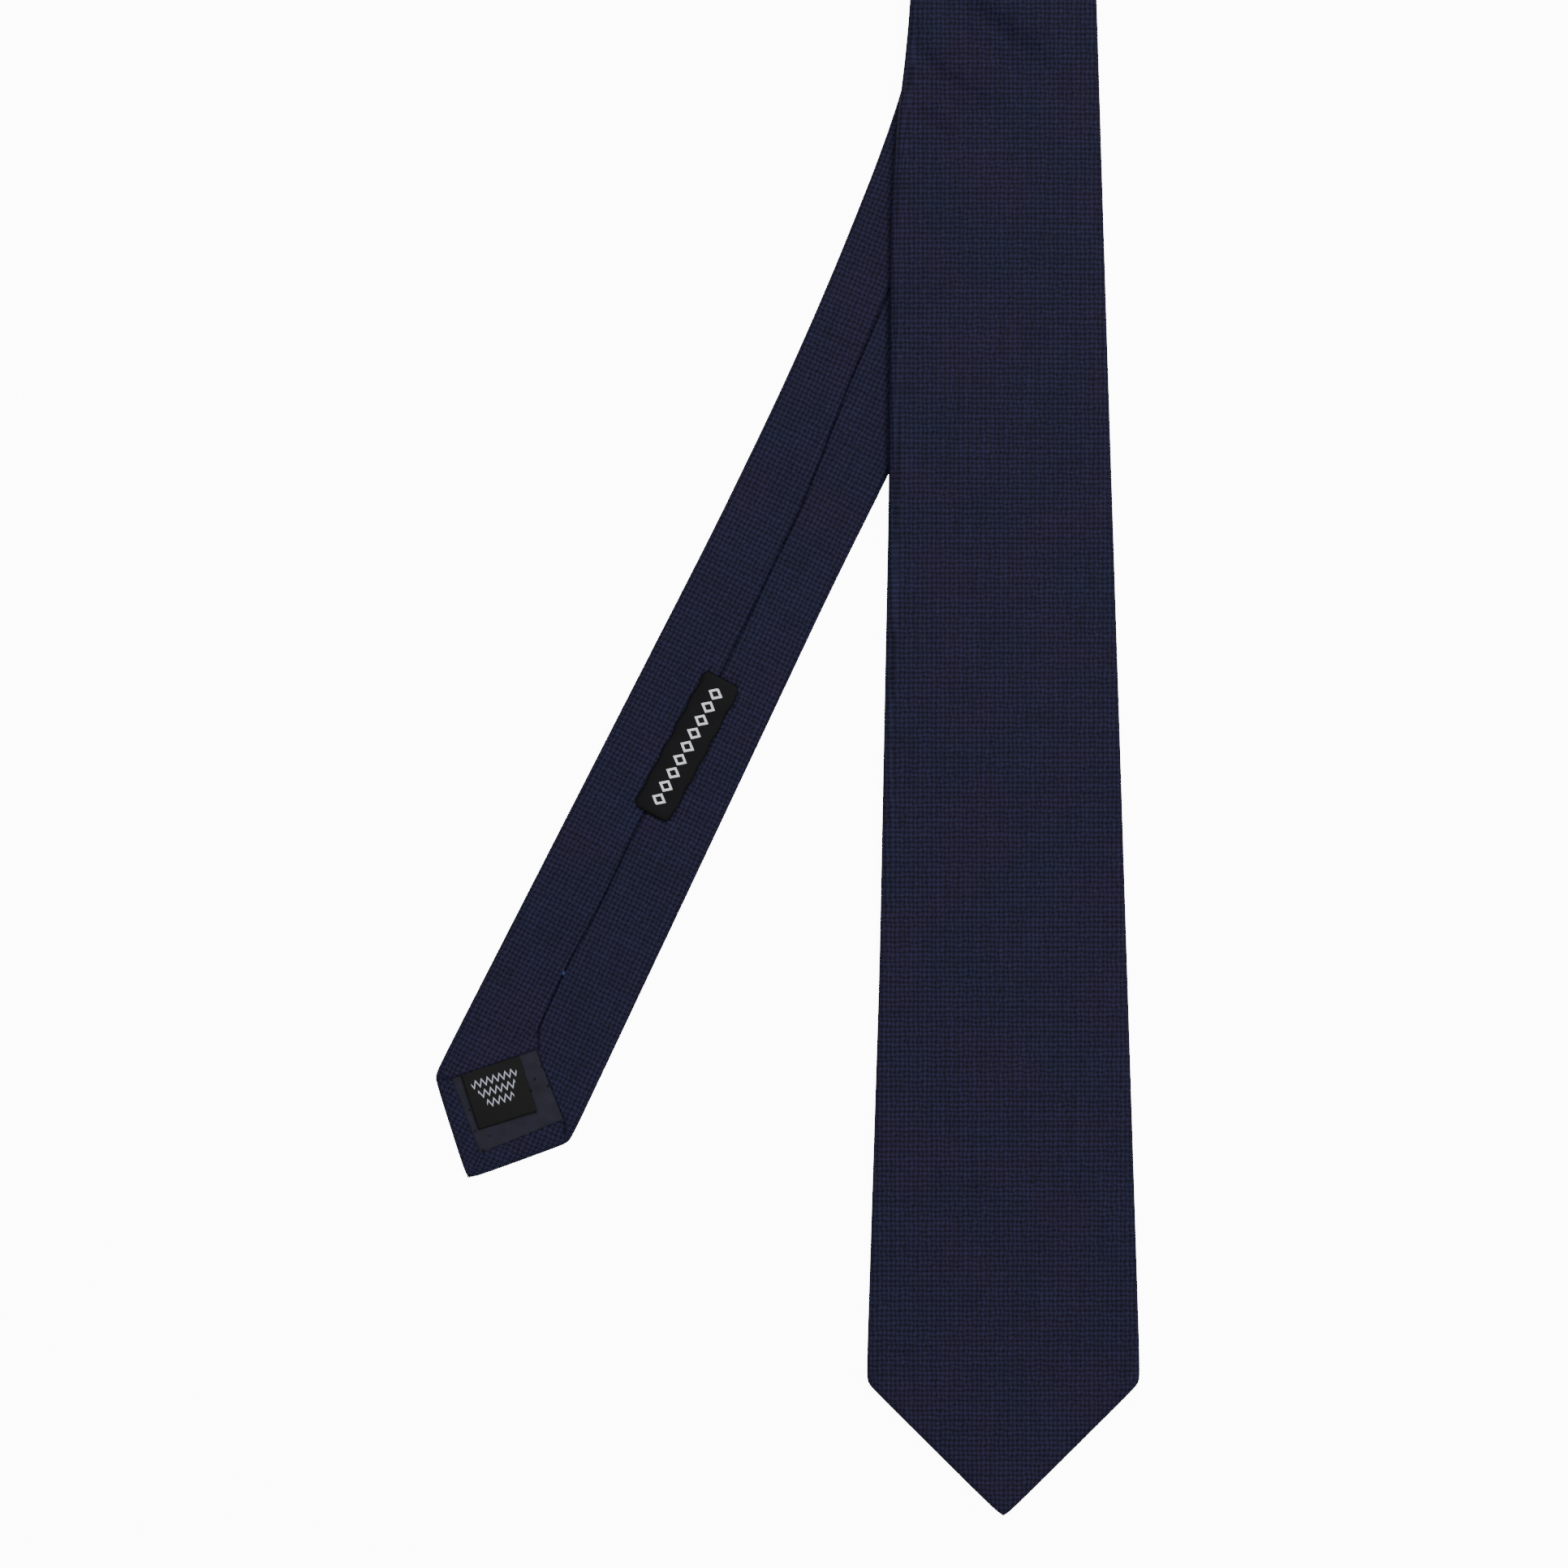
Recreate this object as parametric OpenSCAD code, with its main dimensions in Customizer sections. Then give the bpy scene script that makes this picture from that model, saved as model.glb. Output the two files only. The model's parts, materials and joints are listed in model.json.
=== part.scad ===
// Silk necktie, laid flat and folded over at the neck.
// The blade lies front side up. The tail comes back under it with its back side up
// and leaves it towards the left. +Z is up, and the tie lies on Z = 0.

/* [Tie] */
// Length of the whole tie, from the blade's point to the tail's point
tie_len = 1480; // [1440:5:1540]
// How far the tail's point stops short of the blade's point as laid
tail_short = 93; // [60:1:120]
// Width of the neck
neck_w = 32; // [28:1:36]
// Gap between the two legs where they lie on each other
leg_gap = 0.6; // [0.5:0.1:1]

/* [Blade] */
// Width of the blade at its corners
blade_w = 75; // [70:0.5:85]
// Height of the blade's point above its corners
blade_point = 36; // [32:0.5:40]
// Height that the blade is lifted by the keeper loop under it
keeper_lift = 1.5; // [1.4:0.1:2]

/* [Tail] */
// Width of the tail at its corners
tail_w = 41.5; // [38:0.5:48]
// Height of the tail's point
tail_point = 20.6; // [18:0.2:24]
// Lean of the tail away from the blade, in degrees
tail_lean = 26.2; // [24:0.1:28]
// Length of the tail that lies straight
tail_straight = 215; // [200:1:230]
// Radius of the tail's slow curve
slow_r = 980; // [800:5:1100]
// Radius of the bend that takes the tail out from under the blade
bend_r = 290; // [280:5:310]
// Share of the lean that the bend makes up, in degrees
bend_lean = 21.6; // [20:0.1:22.6]

/* [Cloth] */
// Thickness of the shell cloth at the front
front_t = 0.5; // [0.4:0.1:0.6]
// Thickness of the room for the interlining
core_t = 1.9; // [1.6:0.1:2.2]
// Thickness of the two cloth flaps that lap at the back
back_t = 0.8; // [0.8:0.1:1]
// Thickness of the cloth at the rolled edges
edge_t = 1; // [0.8:0.1:1.4]
// Width of the turned hem at the blade's point
blade_hem = 6.7; // [6:0.1:7.5]
// Width of the turned hem at the tail's point
tail_hem = 5.1; // [4.5:0.1:5.5]

/* [Labels] */
// Distance from the tail's point to the middle of the woven label
woven_s = 132.8; // [120:0.5:150]
// Length of the woven label
woven_l = 42.2; // [38:0.2:46]
// Width of the woven label
woven_w = 10.9; // [9:0.1:13]
// Turn of the woven label on the tail, in degrees
woven_turn = 2; // [0:0.5:4]
// Width of the care label along its sewn edge
care_w = 16.8; // [14:0.2:18]
// Length that the care label hangs from its sewn edge
care_l = 16.3; // [14:0.1:17]

/* [Sewing] */
// Distance between two slip stitches of the back seam
slip_pitch = 9; // [8:1:12]
// Distance from the blade's point to the middle of the keeper loop
keeper_s = 215; // [210:1:220]
// Length of the keeper loop across the blade
keeper_l = 46; // [42:1:50]
// Width of the keeper loop
keeper_w = 11; // [9:0.5:13]

/* [Hidden] */

$fn = 64;

// Cloth layers, counted from the front of the tie to its back
tie_t = front_t + core_t + back_t;
slack = 0.1;
seam_w = 0.3;
join_w = 0.4;
past = 1;
tipping_t = 0.3;
label_t = 0.3;

// The lower leg, measured by the distance s from the tail's point
slow_len = slow_r * (tail_lean - bend_lean) * PI / 180;
bend_len = bend_r * bend_lean * PI / 180;
s_slow = tail_straight;
s_bend = s_slow + slow_len;
s_neck = s_bend + bend_len;
tail_gap = 0.3;

// Rise and run of the tail from its point to the end of the bend
tail_rise = tail_straight * cos(tail_lean) + slow_r * (sin(tail_lean) - sin(bend_lean))
    + bend_r * sin(bend_lean);
tail_run = tail_straight * sin(tail_lean) + slow_r * (cos(bend_lean) - cos(tail_lean))
    + bend_r * (1 - cos(bend_lean));

// The fold at the neck, a half turn about an axis along X between the legs
fold_r = tie_t + leg_gap / 2;
fold_z = fold_r;
fold_len = PI * (fold_r - tie_t / 2);
laid_len = (tie_len + 2 * fold_r - fold_len + tail_short + tail_rise - s_neck) / 2;
fold_y = laid_len / 2 - fold_r;
tip_y = -laid_len / 2;
bend_y = tip_y + tail_short + tail_rise;
s_fold = s_neck + fold_y - bend_y;

// The blade's middle line, placed so that the laid tie is centred on X = 0
left_reach = tail_run - tail_point * sin(tail_lean) + tail_w / 2 * cos(tail_lean);
blade_x = (left_reach - blade_w / 2) / 2;

// Half widths: of the blade by its distance from the point, of the lower leg by s
blade_half = [
    [blade_point, blade_w / 2],
    [417, 25.4],
    [620, 18],
    [700, neck_w / 2],
    [laid_len, neck_w / 2]
];
leg_half = [
    [tail_point, tail_w / 2],
    [190, 18.2],
    [300, 18.8],
    [430, neck_w / 2],
    [s_fold, neck_w / 2]
];

// Height of the blade's underside above the floor, by the distance from its point
top_z = tie_t + leg_gap;
rest_lift = 0.3;
blade_base = [
    [0, rest_lift],
    [keeper_s - 60, rest_lift],
    [keeper_s - 20, keeper_lift],
    [keeper_s + 10, keeper_lift],
    [285, top_z],
    [laid_len, top_z]
];
base_stations = [for (row = blade_base) row[0]];

// Stations along the lower leg where its straight stretches and arcs meet
bend_steps = 10;
tail_stations = concat([tail_point, 190, s_slow],
    [for (i = [1:4]) s_slow + (slow_len - tail_gap) * i / 4]);
bend_stations = [for (i = [0:bend_steps]) s_bend + bend_len * i / bend_steps];
neck_stations = [s_neck + join_w, 430, s_fold];

// Windows at the two backs, where the tipping shows between the hem and the flaps
tail_corner = [tail_point + 2, tail_w / 2 - 4.3];
blade_corner = [blade_point + 2.5, blade_w / 2 - 5.5];
tail_seam_s = 39.9;
blade_seam_s = 73;
tail_window = window(tail_hem * sqrt(2), tail_seam_s, tail_corner);
blade_window = window(blade_hem * sqrt(2), blade_seam_s, blade_corner);
function window(low, high, corner) =
    [[low, 0], corner, [high, 0], [corner[0], -corner[1]]];
tack_in = 22;
tipping_in = 0.3;

// Places of the labels on the tail, as [s, across]
woven_at = [woven_s, 1.7];
care_at = [30.4, -8.5];
care_turn = 46;
care_z = tie_t + 0.3;

// Sewing thread
thread_w = 0.4;
thread_t = 0.15;
thread_gap = 0.05;
slip_l = 2.5;
hem_stitches = 9;
hem_stitch_in = 1.5;

// Colours
silk = [0.12, 0.13, 0.2];
wool = [0.86, 0.84, 0.78];
satin = [0.14, 0.15, 0.19];
black = [0.09, 0.09, 0.11];
thread = [0.09, 0.1, 0.16];

// Heading of the lower leg at s, in degrees from +Y towards +X
function heading(s) =
    s < s_slow ? tail_lean :
    s < s_bend ? tail_lean - (s - s_slow) / slow_r * 180 / PI :
    s < s_neck ? bend_lean - (s - s_bend) / bend_r * 180 / PI : 0;

// Unit vectors along the lower leg and across it, for a heading h
function ahead(h) = [sin(h), cos(h)];
function across(h) = [cos(h), -sin(h)];

// Middle line of the lower leg at s
bend_end = [blade_x, bend_y];
bend_start = bend_end + bend_r * (across(bend_lean) - across(0));
slow_start = bend_start + slow_r * (across(tail_lean) - across(bend_lean));
function middle(s) =
    s < s_slow ? slow_start - (s_slow - s) * ahead(tail_lean) :
    s < s_bend ? bend_start + slow_r * (across(heading(s)) - across(bend_lean)) :
    s < s_neck ? bend_end + bend_r * (across(heading(s)) - across(0)) :
    bend_end + [0, s - s_neck];

// Point of the lower leg at s, with x across it
function on_leg(s, x) = middle(s) + x * across(heading(s));

// Point of the blade at the distance s from its own point, with x across it
function on_blade(s, x) = [blade_x + x, tip_y + s];

function backwards(list) = [for (i = [len(list) - 1:-1:0]) list[i]];

// Outline of a stretch of the lower leg, drawn in from its edges
module leg_outline(stations, inset = 0) {
    polygon(concat(
        [for (s = stations) on_leg(s, inset - lookup(s, leg_half))],
        [for (s = backwards(stations)) on_leg(s, lookup(s, leg_half) - inset)]));
}

// Outline of the tail with its point
module tail_outline(inset = 0) {
    leg_outline(tail_stations, inset);
    polygon([
        on_leg(inset * 1.4, 0),
        on_leg(tail_point, inset - tail_w / 2),
        on_leg(tail_point, tail_w / 2 - inset)
    ]);
}

// Outline of the blade with its point
module blade_outline(inset = 0) {
    rows = [for (row = blade_half) if (row[0] < laid_len) row];
    end = fold_y - join_w - tip_y;
    polygon(concat(
        [on_blade(inset * 1.4, 0)],
        [for (row = rows) on_blade(row[0], row[1] - inset)],
        [on_blade(end, neck_w / 2 - inset), on_blade(end, inset - neck_w / 2)],
        [for (row = backwards(rows)) on_blade(row[0], inset - row[1])]));
}

// A layer of the blade, from low to high above its draped underside
module blade_layer(low, high) {
    translate([-blade_w, 0, 0])
        rotate([90, 0, 90])
            linear_extrude(3 * blade_w)
                polygon(concat(
                    [for (s = base_stations) [tip_y + s, lookup(s, blade_base) + low]],
                    [for (s = backwards(base_stations))
                        [tip_y + s, lookup(s, blade_base) + high]]));
}

// A sheet of the blade with a flat outline, cut to its layer
module on_blade_layer(low, high) {
    intersection() {
        linear_extrude(2 * fold_r) children();
        blade_layer(low, high);
    }
}

// A window's outline, with its points drawn in
module blade_window_shape(inset = 0) {
    polygon([for (p = blade_window)
        on_blade(p[0] + inset * sign(blade_corner[0] - p[0]), p[1] - inset * sign(p[1]))]);
}

module tail_window_shape(inset = 0) {
    polygon([for (p = tail_window)
        on_leg(p[0] + inset * sign(tail_corner[0] - p[0]), p[1] - inset * sign(p[1]))]);
}

// A short stitch on the back of the lower leg, turned from the leg's heading
module leg_stitch(s, x, length, turn = 0, z = tie_t) {
    translate(concat(on_leg(s, x), z))
        rotate(-heading(s) - turn)
            translate([-thread_w / 2, -length / 2, 0])
                cube([thread_w, length, thread_t]);
}

// A short stitch on the underside of the blade
module blade_stitch(s, x, length, turn = 0) {
    translate(concat(on_blade(s, x), lookup(s, blade_base) - thread_t - thread_gap))
        rotate(-turn)
            translate([-thread_w / 2, -length / 2, 0])
                cube([thread_w, length, thread_t]);
}

// A sleeve of cloth on a stretch of the lower leg, slit along its back seam
module leg_sleeve(stations) {
    difference() {
        linear_extrude(tie_t) leg_outline(stations);
        translate([0, 0, front_t])
            linear_extrude(core_t)
                leg_outline([stations[0] - past, each stations, stations[len(stations) - 1] + past],
                    edge_t);
        translate([0, 0, front_t + core_t])
            linear_extrude(back_t + past)
                polygon(concat(
                    [for (s = stations) on_leg(s, -seam_w / 2)],
                    [for (s = backwards(stations)) on_leg(s, seam_w / 2)]));
    }
}

module leg_core(stations) {
    translate([0, 0, front_t + slack])
        linear_extrude(core_t - 2 * slack)
            leg_outline(stations, edge_t + slack);
}

// Neck: the straight stretch of the lower leg, under the blade
module neck_shell() {
    color(silk) leg_sleeve(neck_stations);
}

module neck_interlining() {
    color(wool) leg_core(neck_stations);
}

// A half ring about the fold's axis, between two radii
module fold_ring(r_in, r_out, w) {
    translate([blade_x, fold_y, fold_z])
        rotate([0, 90, 0])
            difference() {
                cylinder(r = r_out, h = w, center = true);
                cylinder(r = r_in, h = w + 2 * past, center = true);
                translate([-2 * fold_r, -4 * fold_r, -w])
                    cube([4 * fold_r, 4 * fold_r, 2 * w]);
            }
}

module neck_fold_shell() {
    color(silk)
        difference() {
            fold_ring(leg_gap / 2, fold_r, neck_w);
            fold_ring(leg_gap / 2 + back_t, fold_r - front_t, neck_w - 2 * edge_t);
        }
}

module neck_fold_interlining() {
    color(wool)
        fold_ring(leg_gap / 2 + back_t + slack, fold_r - front_t - slack,
            neck_w - 2 * edge_t - 2 * slack);
}

// Tail bend: the stretch that takes the tail out from under the blade
module tail_bend_shell() {
    color(silk) leg_sleeve(bend_stations);
}

module tail_bend_interlining() {
    color(wool) leg_core(bend_stations);
}

module neck_slip_stitches() {
    color(thread)
        for (s = [s_neck + slip_pitch:slip_pitch:s_fold - slip_pitch])
            leg_stitch(s, 0, slip_l, 60);
}

// The seam between the neck and the tail panel: stitches across a narrow joint
module neck_tail_join_stitches() {
    color(thread)
        for (x = [-12:3:12], z = [0.1, tie_t - 0.4])
            translate([blade_x + x - 0.5, bend_y, z])
                cube([1, join_w, 0.3]);
}

// Blade
module blade_shell() {
    color(silk)
        difference() {
            on_blade_layer(0, tie_t) blade_outline();
            on_blade_layer(back_t, back_t + core_t) {
                blade_outline(edge_t);
                translate([blade_x - neck_w / 2 + edge_t, fold_y - 2 * past])
                    square([neck_w - 2 * edge_t, 4 * past]);
            }
            on_blade_layer(-past, back_t) {
                blade_window_shape();
                translate([blade_x - seam_w / 2, tip_y + blade_seam_s - past])
                    square([seam_w, laid_len]);
            }
        }
}

module blade_interlining() {
    color(wool)
        on_blade_layer(back_t + slack, back_t + core_t - slack)
            blade_outline(edge_t + slack);
}

module blade_tipping() {
    color(satin)
        on_blade_layer(back_t - tipping_t, back_t)
            blade_window_shape(tipping_in);
}

// Stitches along the two hems, just inside the window's lower edges
module blade_tipping_stitches() {
    low = blade_window[0];
    high = blade_window[1];
    color(thread)
        translate([0, 0, back_t - tipping_t + thread_gap])
            for (side = [-1, 1], i = [1:hem_stitches])
                let (s = low[0] + hem_stitch_in + (high[0] - low[0]) * i / (hem_stitches + 2))
                    blade_stitch(s, side * high[1] * i / (hem_stitches + 2), 1.6, side * 45);
}

module blade_slip_stitches() {
    color(thread)
        for (s = [blade_seam_s + tack_in + slip_pitch:slip_pitch:laid_len - 2 * slip_pitch])
            if (abs(s - keeper_s) > keeper_w / 2 + slip_l)
                blade_stitch(s, 0, slip_l, 60);
}

module blade_bar_tack() {
    color(thread)
        for (i = [-2:2])
            blade_stitch(blade_seam_s + tack_in + i * 0.6, 0, 6, 90);
}

// Keeper loop: a strip of the shell cloth across the back, held at its two ends
module keeper_loop() {
    strip_t = 0.6;
    end_l = 5;
    low = lookup(keeper_s, blade_base) - 1.1;
    color(silk)
        translate([blade_x - keeper_l / 2, tip_y + keeper_s - keeper_w / 2, low])
            difference() {
                cube([keeper_l, keeper_w, 1.1]);
                translate([end_l, -past, strip_t])
                    cube([keeper_l - 2 * end_l, keeper_w + 2 * past, 1.1]);
            }
}

module keeper_loop_stitches() {
    low = lookup(keeper_s, blade_base) - 1.1 - thread_t;
    color(thread)
        for (side = [-1, 1], i = [-2:2])
            translate([blade_x + side * (keeper_l / 2 - 2) - thread_w / 2,
                tip_y + keeper_s + i * 2 - 0.6, low])
                cube([thread_w, 1.2, thread_t]);
}

module blade_neck_join_stitches() {
    color(thread)
        for (x = [-12:3:12], z = [0.1, tie_t - 0.4])
            translate([blade_x + x - 0.5, fold_y - join_w, top_z + z])
                cube([1, join_w - 0.1, 0.3]);
}

// Tail
module tail_shell() {
    color(silk)
        difference() {
            linear_extrude(tie_t) tail_outline();
            translate([0, 0, front_t])
                linear_extrude(core_t) {
                    tail_outline(edge_t);
                    leg_outline([s_bend - 2 * past, s_bend + past], edge_t);
                }
            translate([0, 0, front_t + core_t])
                linear_extrude(back_t + past) {
                    tail_window_shape();
                    polygon(concat(
                        [on_leg(tail_seam_s - past, -seam_w / 2)],
                        [for (i = [2:len(tail_stations) - 1]) on_leg(tail_stations[i], -seam_w / 2)],
                        [on_leg(s_bend + past, -seam_w / 2), on_leg(s_bend + past, seam_w / 2)],
                        [for (i = [len(tail_stations) - 1:-1:2]) on_leg(tail_stations[i], seam_w / 2)],
                        [on_leg(tail_seam_s - past, seam_w / 2)]));
                }
        }
}

module tail_interlining() {
    color(wool)
        translate([0, 0, front_t + slack])
            linear_extrude(core_t - 2 * slack)
                tail_outline(edge_t + slack);
}

module tail_tipping() {
    color(satin)
        translate([0, 0, front_t + core_t])
            linear_extrude(tipping_t)
                tail_window_shape(tipping_in);
}

module tail_tipping_stitches() {
    count = ceil(hem_stitches / 2);
    low = tail_window[0];
    high = tail_window[1];
    color(thread)
        for (side = [-1, 1], i = [1:count])
            let (s = low[0] + hem_stitch_in + (high[0] - low[0]) * i / (count + 2))
                leg_stitch(s, side * high[1] * i / (count + 2), 1.6, side * 45,
                    front_t + core_t + tipping_t);
}

module tail_slip_stitches() {
    woven_clear = woven_l / 2 + slip_l;
    color(thread)
        for (s = [tail_seam_s + tack_in + slip_pitch:slip_pitch:s_bend - slip_pitch])
            if (abs(s - woven_s) > woven_clear)
                leg_stitch(s, 0, slip_l, 60);
}

module tail_bar_tack() {
    color(thread)
        for (i = [-2:2])
            leg_stitch(tail_seam_s + tack_in + i * 0.6, 0, 6, 90);
}

// Woven label, sewn over the back seam
module woven_label() {
    color(black)
        translate(concat(on_leg(woven_at[0], woven_at[1]), tie_t))
            rotate(-tail_lean - woven_turn)
                translate([-woven_w / 2, -woven_l / 2, 0])
                    cube([woven_w, woven_l, label_t]);
}

module woven_label_stitches() {
    color(thread)
        translate(concat(on_leg(woven_at[0], woven_at[1]), tie_t + label_t))
            rotate(-tail_lean - woven_turn)
                for (side = [-1, 1], i = [-2:2])
                    translate([i * 2 - 0.6, side * (woven_l / 2 - 1) - thread_w / 2, 0])
                        cube([1.2, thread_w, thread_t]);
}

// Care label, hung from its sewn top edge over the tipping
module care_label() {
    color(black)
        translate(concat(on_leg(care_at[0], care_at[1]), care_z))
            rotate(-tail_lean + 90 - care_turn)
                translate([-care_w / 2, -care_l, 0])
                    cube([care_w, care_l, label_t]);
}

module care_label_stitches() {
    color(thread)
        translate(concat(on_leg(care_at[0], care_at[1]), tie_t))
            rotate(-tail_lean + 90 - care_turn)
                for (i = [-3:3])
                    translate([i * 2.2 - 0.6, 0.5, 0])
                        cube([1.2, thread_w, thread_t]);
}

neck_shell();
neck_interlining();
neck_fold_shell();
neck_fold_interlining();
tail_bend_shell();
tail_bend_interlining();
neck_slip_stitches();
neck_tail_join_stitches();
blade_shell();
blade_interlining();
blade_tipping();
blade_tipping_stitches();
blade_slip_stitches();
blade_bar_tack();
keeper_loop();
keeper_loop_stitches();
blade_neck_join_stitches();
tail_shell();
tail_interlining();
tail_tipping();
tail_tipping_stitches();
tail_slip_stitches();
tail_bar_tack();
woven_label();
woven_label_stitches();
care_label();
care_label_stitches();
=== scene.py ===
import json
import math

import bpy
import numpy as np
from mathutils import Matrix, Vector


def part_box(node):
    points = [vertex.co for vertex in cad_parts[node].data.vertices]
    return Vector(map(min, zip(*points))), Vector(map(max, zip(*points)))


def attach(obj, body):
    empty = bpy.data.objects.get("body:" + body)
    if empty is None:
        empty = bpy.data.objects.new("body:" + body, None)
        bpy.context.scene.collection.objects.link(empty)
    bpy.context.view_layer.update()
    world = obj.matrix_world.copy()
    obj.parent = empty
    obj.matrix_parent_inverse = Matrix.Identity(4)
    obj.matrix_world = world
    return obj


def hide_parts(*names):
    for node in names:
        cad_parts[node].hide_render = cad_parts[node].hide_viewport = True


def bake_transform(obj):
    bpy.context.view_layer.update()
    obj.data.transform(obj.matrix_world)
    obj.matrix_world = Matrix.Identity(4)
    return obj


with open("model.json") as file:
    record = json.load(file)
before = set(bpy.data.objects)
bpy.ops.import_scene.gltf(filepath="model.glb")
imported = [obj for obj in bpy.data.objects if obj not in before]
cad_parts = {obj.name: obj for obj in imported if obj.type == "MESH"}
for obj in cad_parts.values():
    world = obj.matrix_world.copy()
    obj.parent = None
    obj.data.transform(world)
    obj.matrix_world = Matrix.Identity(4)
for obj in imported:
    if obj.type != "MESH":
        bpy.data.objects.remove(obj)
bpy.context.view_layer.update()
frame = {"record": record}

mm = 0.001
hair = 0.03                                          # mm that keep two surfaces apart
joints = {j["name"]: j for j in frame["record"]["behaviour"]["joints"]}


# small helpers

def ease(t):
    # 3t^2 - 2t^3 between 0 and 1, flat outside
    t = np.clip(t, 0.0, 1.0)
    return t * t * (3 - 2 * t)


def signedPower(value, power):
    # a sine or cosine to a low power, which squares an oval's shoulders
    return np.sign(value) * np.abs(value) ** power


def softInterp(at, places, values, width):
    # straight pieces between the places, averaged over a window so that no corner shows
    offsets = np.linspace(-width, width, 9)
    return sum(np.interp(at + o, places, values) for o in offsets) / len(offsets)


def ripple(x, y, seed, longest, count=6):
    # a few sine waves in fixed but irregular directions, from -1 to 1
    draw = np.random.default_rng(seed)
    angles = draw.uniform(0, math.pi, count)
    waves = longest * draw.uniform(0.35, 1.0, count)
    phases = draw.uniform(0, 2 * math.pi, count)
    total = 0.0
    for angle, wave, phase in zip(angles, waves, phases):
        along = x * math.cos(angle) + y * math.sin(angle)
        total = total + np.sin(2 * math.pi * along / wave + phase)
    return total / count


def fromHex(code):
    # sRGB hex to a linear colour
    srgb = [int(code[i:i + 2], 16) / 255 for i in (0, 2, 4)]
    return [c / 12.92 if c <= 0.04045 else ((c + 0.055) / 1.055) ** 2.4 for c in srgb] + [1.0]


def addNode(tree, kind, inputs=(), stops=(), **settings):
    # one node, given back as its first live output: each input is a value to set or a socket to
    # link, in order or by name, and stops are the places and colours of a ramp
    node = tree.nodes.new("ShaderNode" + kind)
    for name, value in settings.items():
        setattr(node, name, value)
    for key, value in (inputs.items() if isinstance(inputs, dict) else enumerate(inputs)):
        if isinstance(value, bpy.types.NodeSocket):
            tree.links.new(value, node.inputs[key])
        else:
            node.inputs[key].default_value = value
    for number, (stop, code) in enumerate(stops):
        elements = node.color_ramp.elements
        element = elements[number] if number < len(elements) else elements.new(stop)
        element.position = stop
        element.color = fromHex(code)
    return next((output for output in node.outputs if output.enabled), None)


def addSums(tree, sockets, steps):
    # a chain of sums: each step is the result's name, the operation, and the names or numbers in it
    for result, operation, *terms in steps:
        sockets[result] = addNode(tree, "Math", [sockets.get(term, term) for term in terms],
                                  operation=operation)


def newMaterial(name, roughness, specular):
    material = bpy.data.materials.new(name)
    material.use_nodes = True
    tree = material.node_tree
    tree.nodes.clear()
    shader = addNode(tree, "BsdfPrincipled").node
    shader.inputs["Roughness"].default_value = roughness
    shader.inputs["Specular IOR Level"].default_value = specular
    addNode(tree, "OutputMaterial", {"Surface": shader.outputs[0]})
    return material, tree, shader


def colourAndRelief(tree, shader, colour, height, strength, depth):
    # the depth of the relief is in mm
    relief = addNode(tree, "Bump", {"Strength": strength, "Distance": depth * mm, "Height": height})
    tree.links.new(colour, shader.inputs["Base Color"])
    tree.links.new(relief, shader.inputs["Normal"])


def gridPiece(name, points, cloth, material, flip=False, thickness=0.0):
    # a sheet of quads over a grid of points in mm, with the cloth's own mm as its UV map
    rows, cols = points.shape[:2]
    index = np.arange(rows * cols).reshape(rows, cols)
    quads = np.stack([index[:-1, :-1], index[:-1, 1:], index[1:, 1:], index[1:, :-1]], -1)
    quads = quads.reshape(-1, 4)
    if flip:
        quads = quads[:, ::-1]
    return meshPiece(name, points.reshape(-1, 3), quads, cloth.reshape(-1, 2), material, thickness)


def closedTube(name, points, cloth, material):
    # rings of points, closed at both ends on the middle of the last ring
    caps = np.repeat(points[[0, -1]].mean(1, keepdims=True), points.shape[1], 1)
    points = np.concatenate([caps[:1], points, caps[1:]], 0)
    cloth = np.concatenate([cloth[:1], cloth, cloth[-1:]], 0)
    return gridPiece(name, points, cloth, material)


def meshPiece(name, points, quads, cloth, material, thickness=0.0):
    # quads with smooth shading, and a wall inwards where the cloth has a thickness
    mesh = bpy.data.meshes.new(name)
    mesh.from_pydata((points * mm).tolist(), [], quads.tolist())
    layer = mesh.uv_layers.new(name="cloth")
    layer.data.foreach_set("uv", cloth[quads.reshape(-1)].ravel())
    mesh.polygons.foreach_set("use_smooth", np.ones(len(quads), bool))
    mesh.materials.append(material)
    piece = bpy.data.objects.new(name, mesh)
    bpy.context.scene.collection.objects.link(piece)
    if thickness:
        wall = piece.modifiers.new("cloth thickness", "SOLIDIFY")
        wall.thickness = thickness * mm
        wall.offset = -1
    return piece


# where the tie lies, in mm

foldX, foldY, foldZ = (v / mm for v in joints["neck_fold"]["pos_m"])
swingY = joints["tail_swing"]["pos_m"][1] / mm
neckLow, neckHigh = (np.array(c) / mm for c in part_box("neck_shell"))
keeperLow, keeperHigh = (np.array(c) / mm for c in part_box("keeper_loop"))

layout = {
    "lean": 26.2, "bendLean": 21.6,                  # degrees from the blade's line
    "straight": 215.0, "slowRadius": 980.0, "bendRadius": 290.0,
    "thickness": neckHigh[2] - neckLow[2],
    "pressed": 3.5,                                  # of tie on each side of the fold
}
lean, bendLean = (math.radians(layout[k]) for k in ("lean", "bendLean"))
bladeX, tipY = foldX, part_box("blade_shell")[0][1] / mm
keeperS = 0.5 * (keeperLow[1] + keeperHigh[1]) - tipY
radius = layout["thickness"] / 2
ringRadius = foldZ - radius                          # of the middle surface round the fold
sSlow = layout["straight"]
sBend = sSlow + layout["slowRadius"] * (lean - bendLean)
sNeck = sBend + layout["bendRadius"] * bendLean
bendEnd = np.array([bladeX, swingY + layout["bendRadius"] * math.tan(bendLean / 2)])
sFold = sNeck + foldY - bendEnd[1]
tFold = foldY - tipY
tLower = tFold + math.pi * ringRadius
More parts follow.
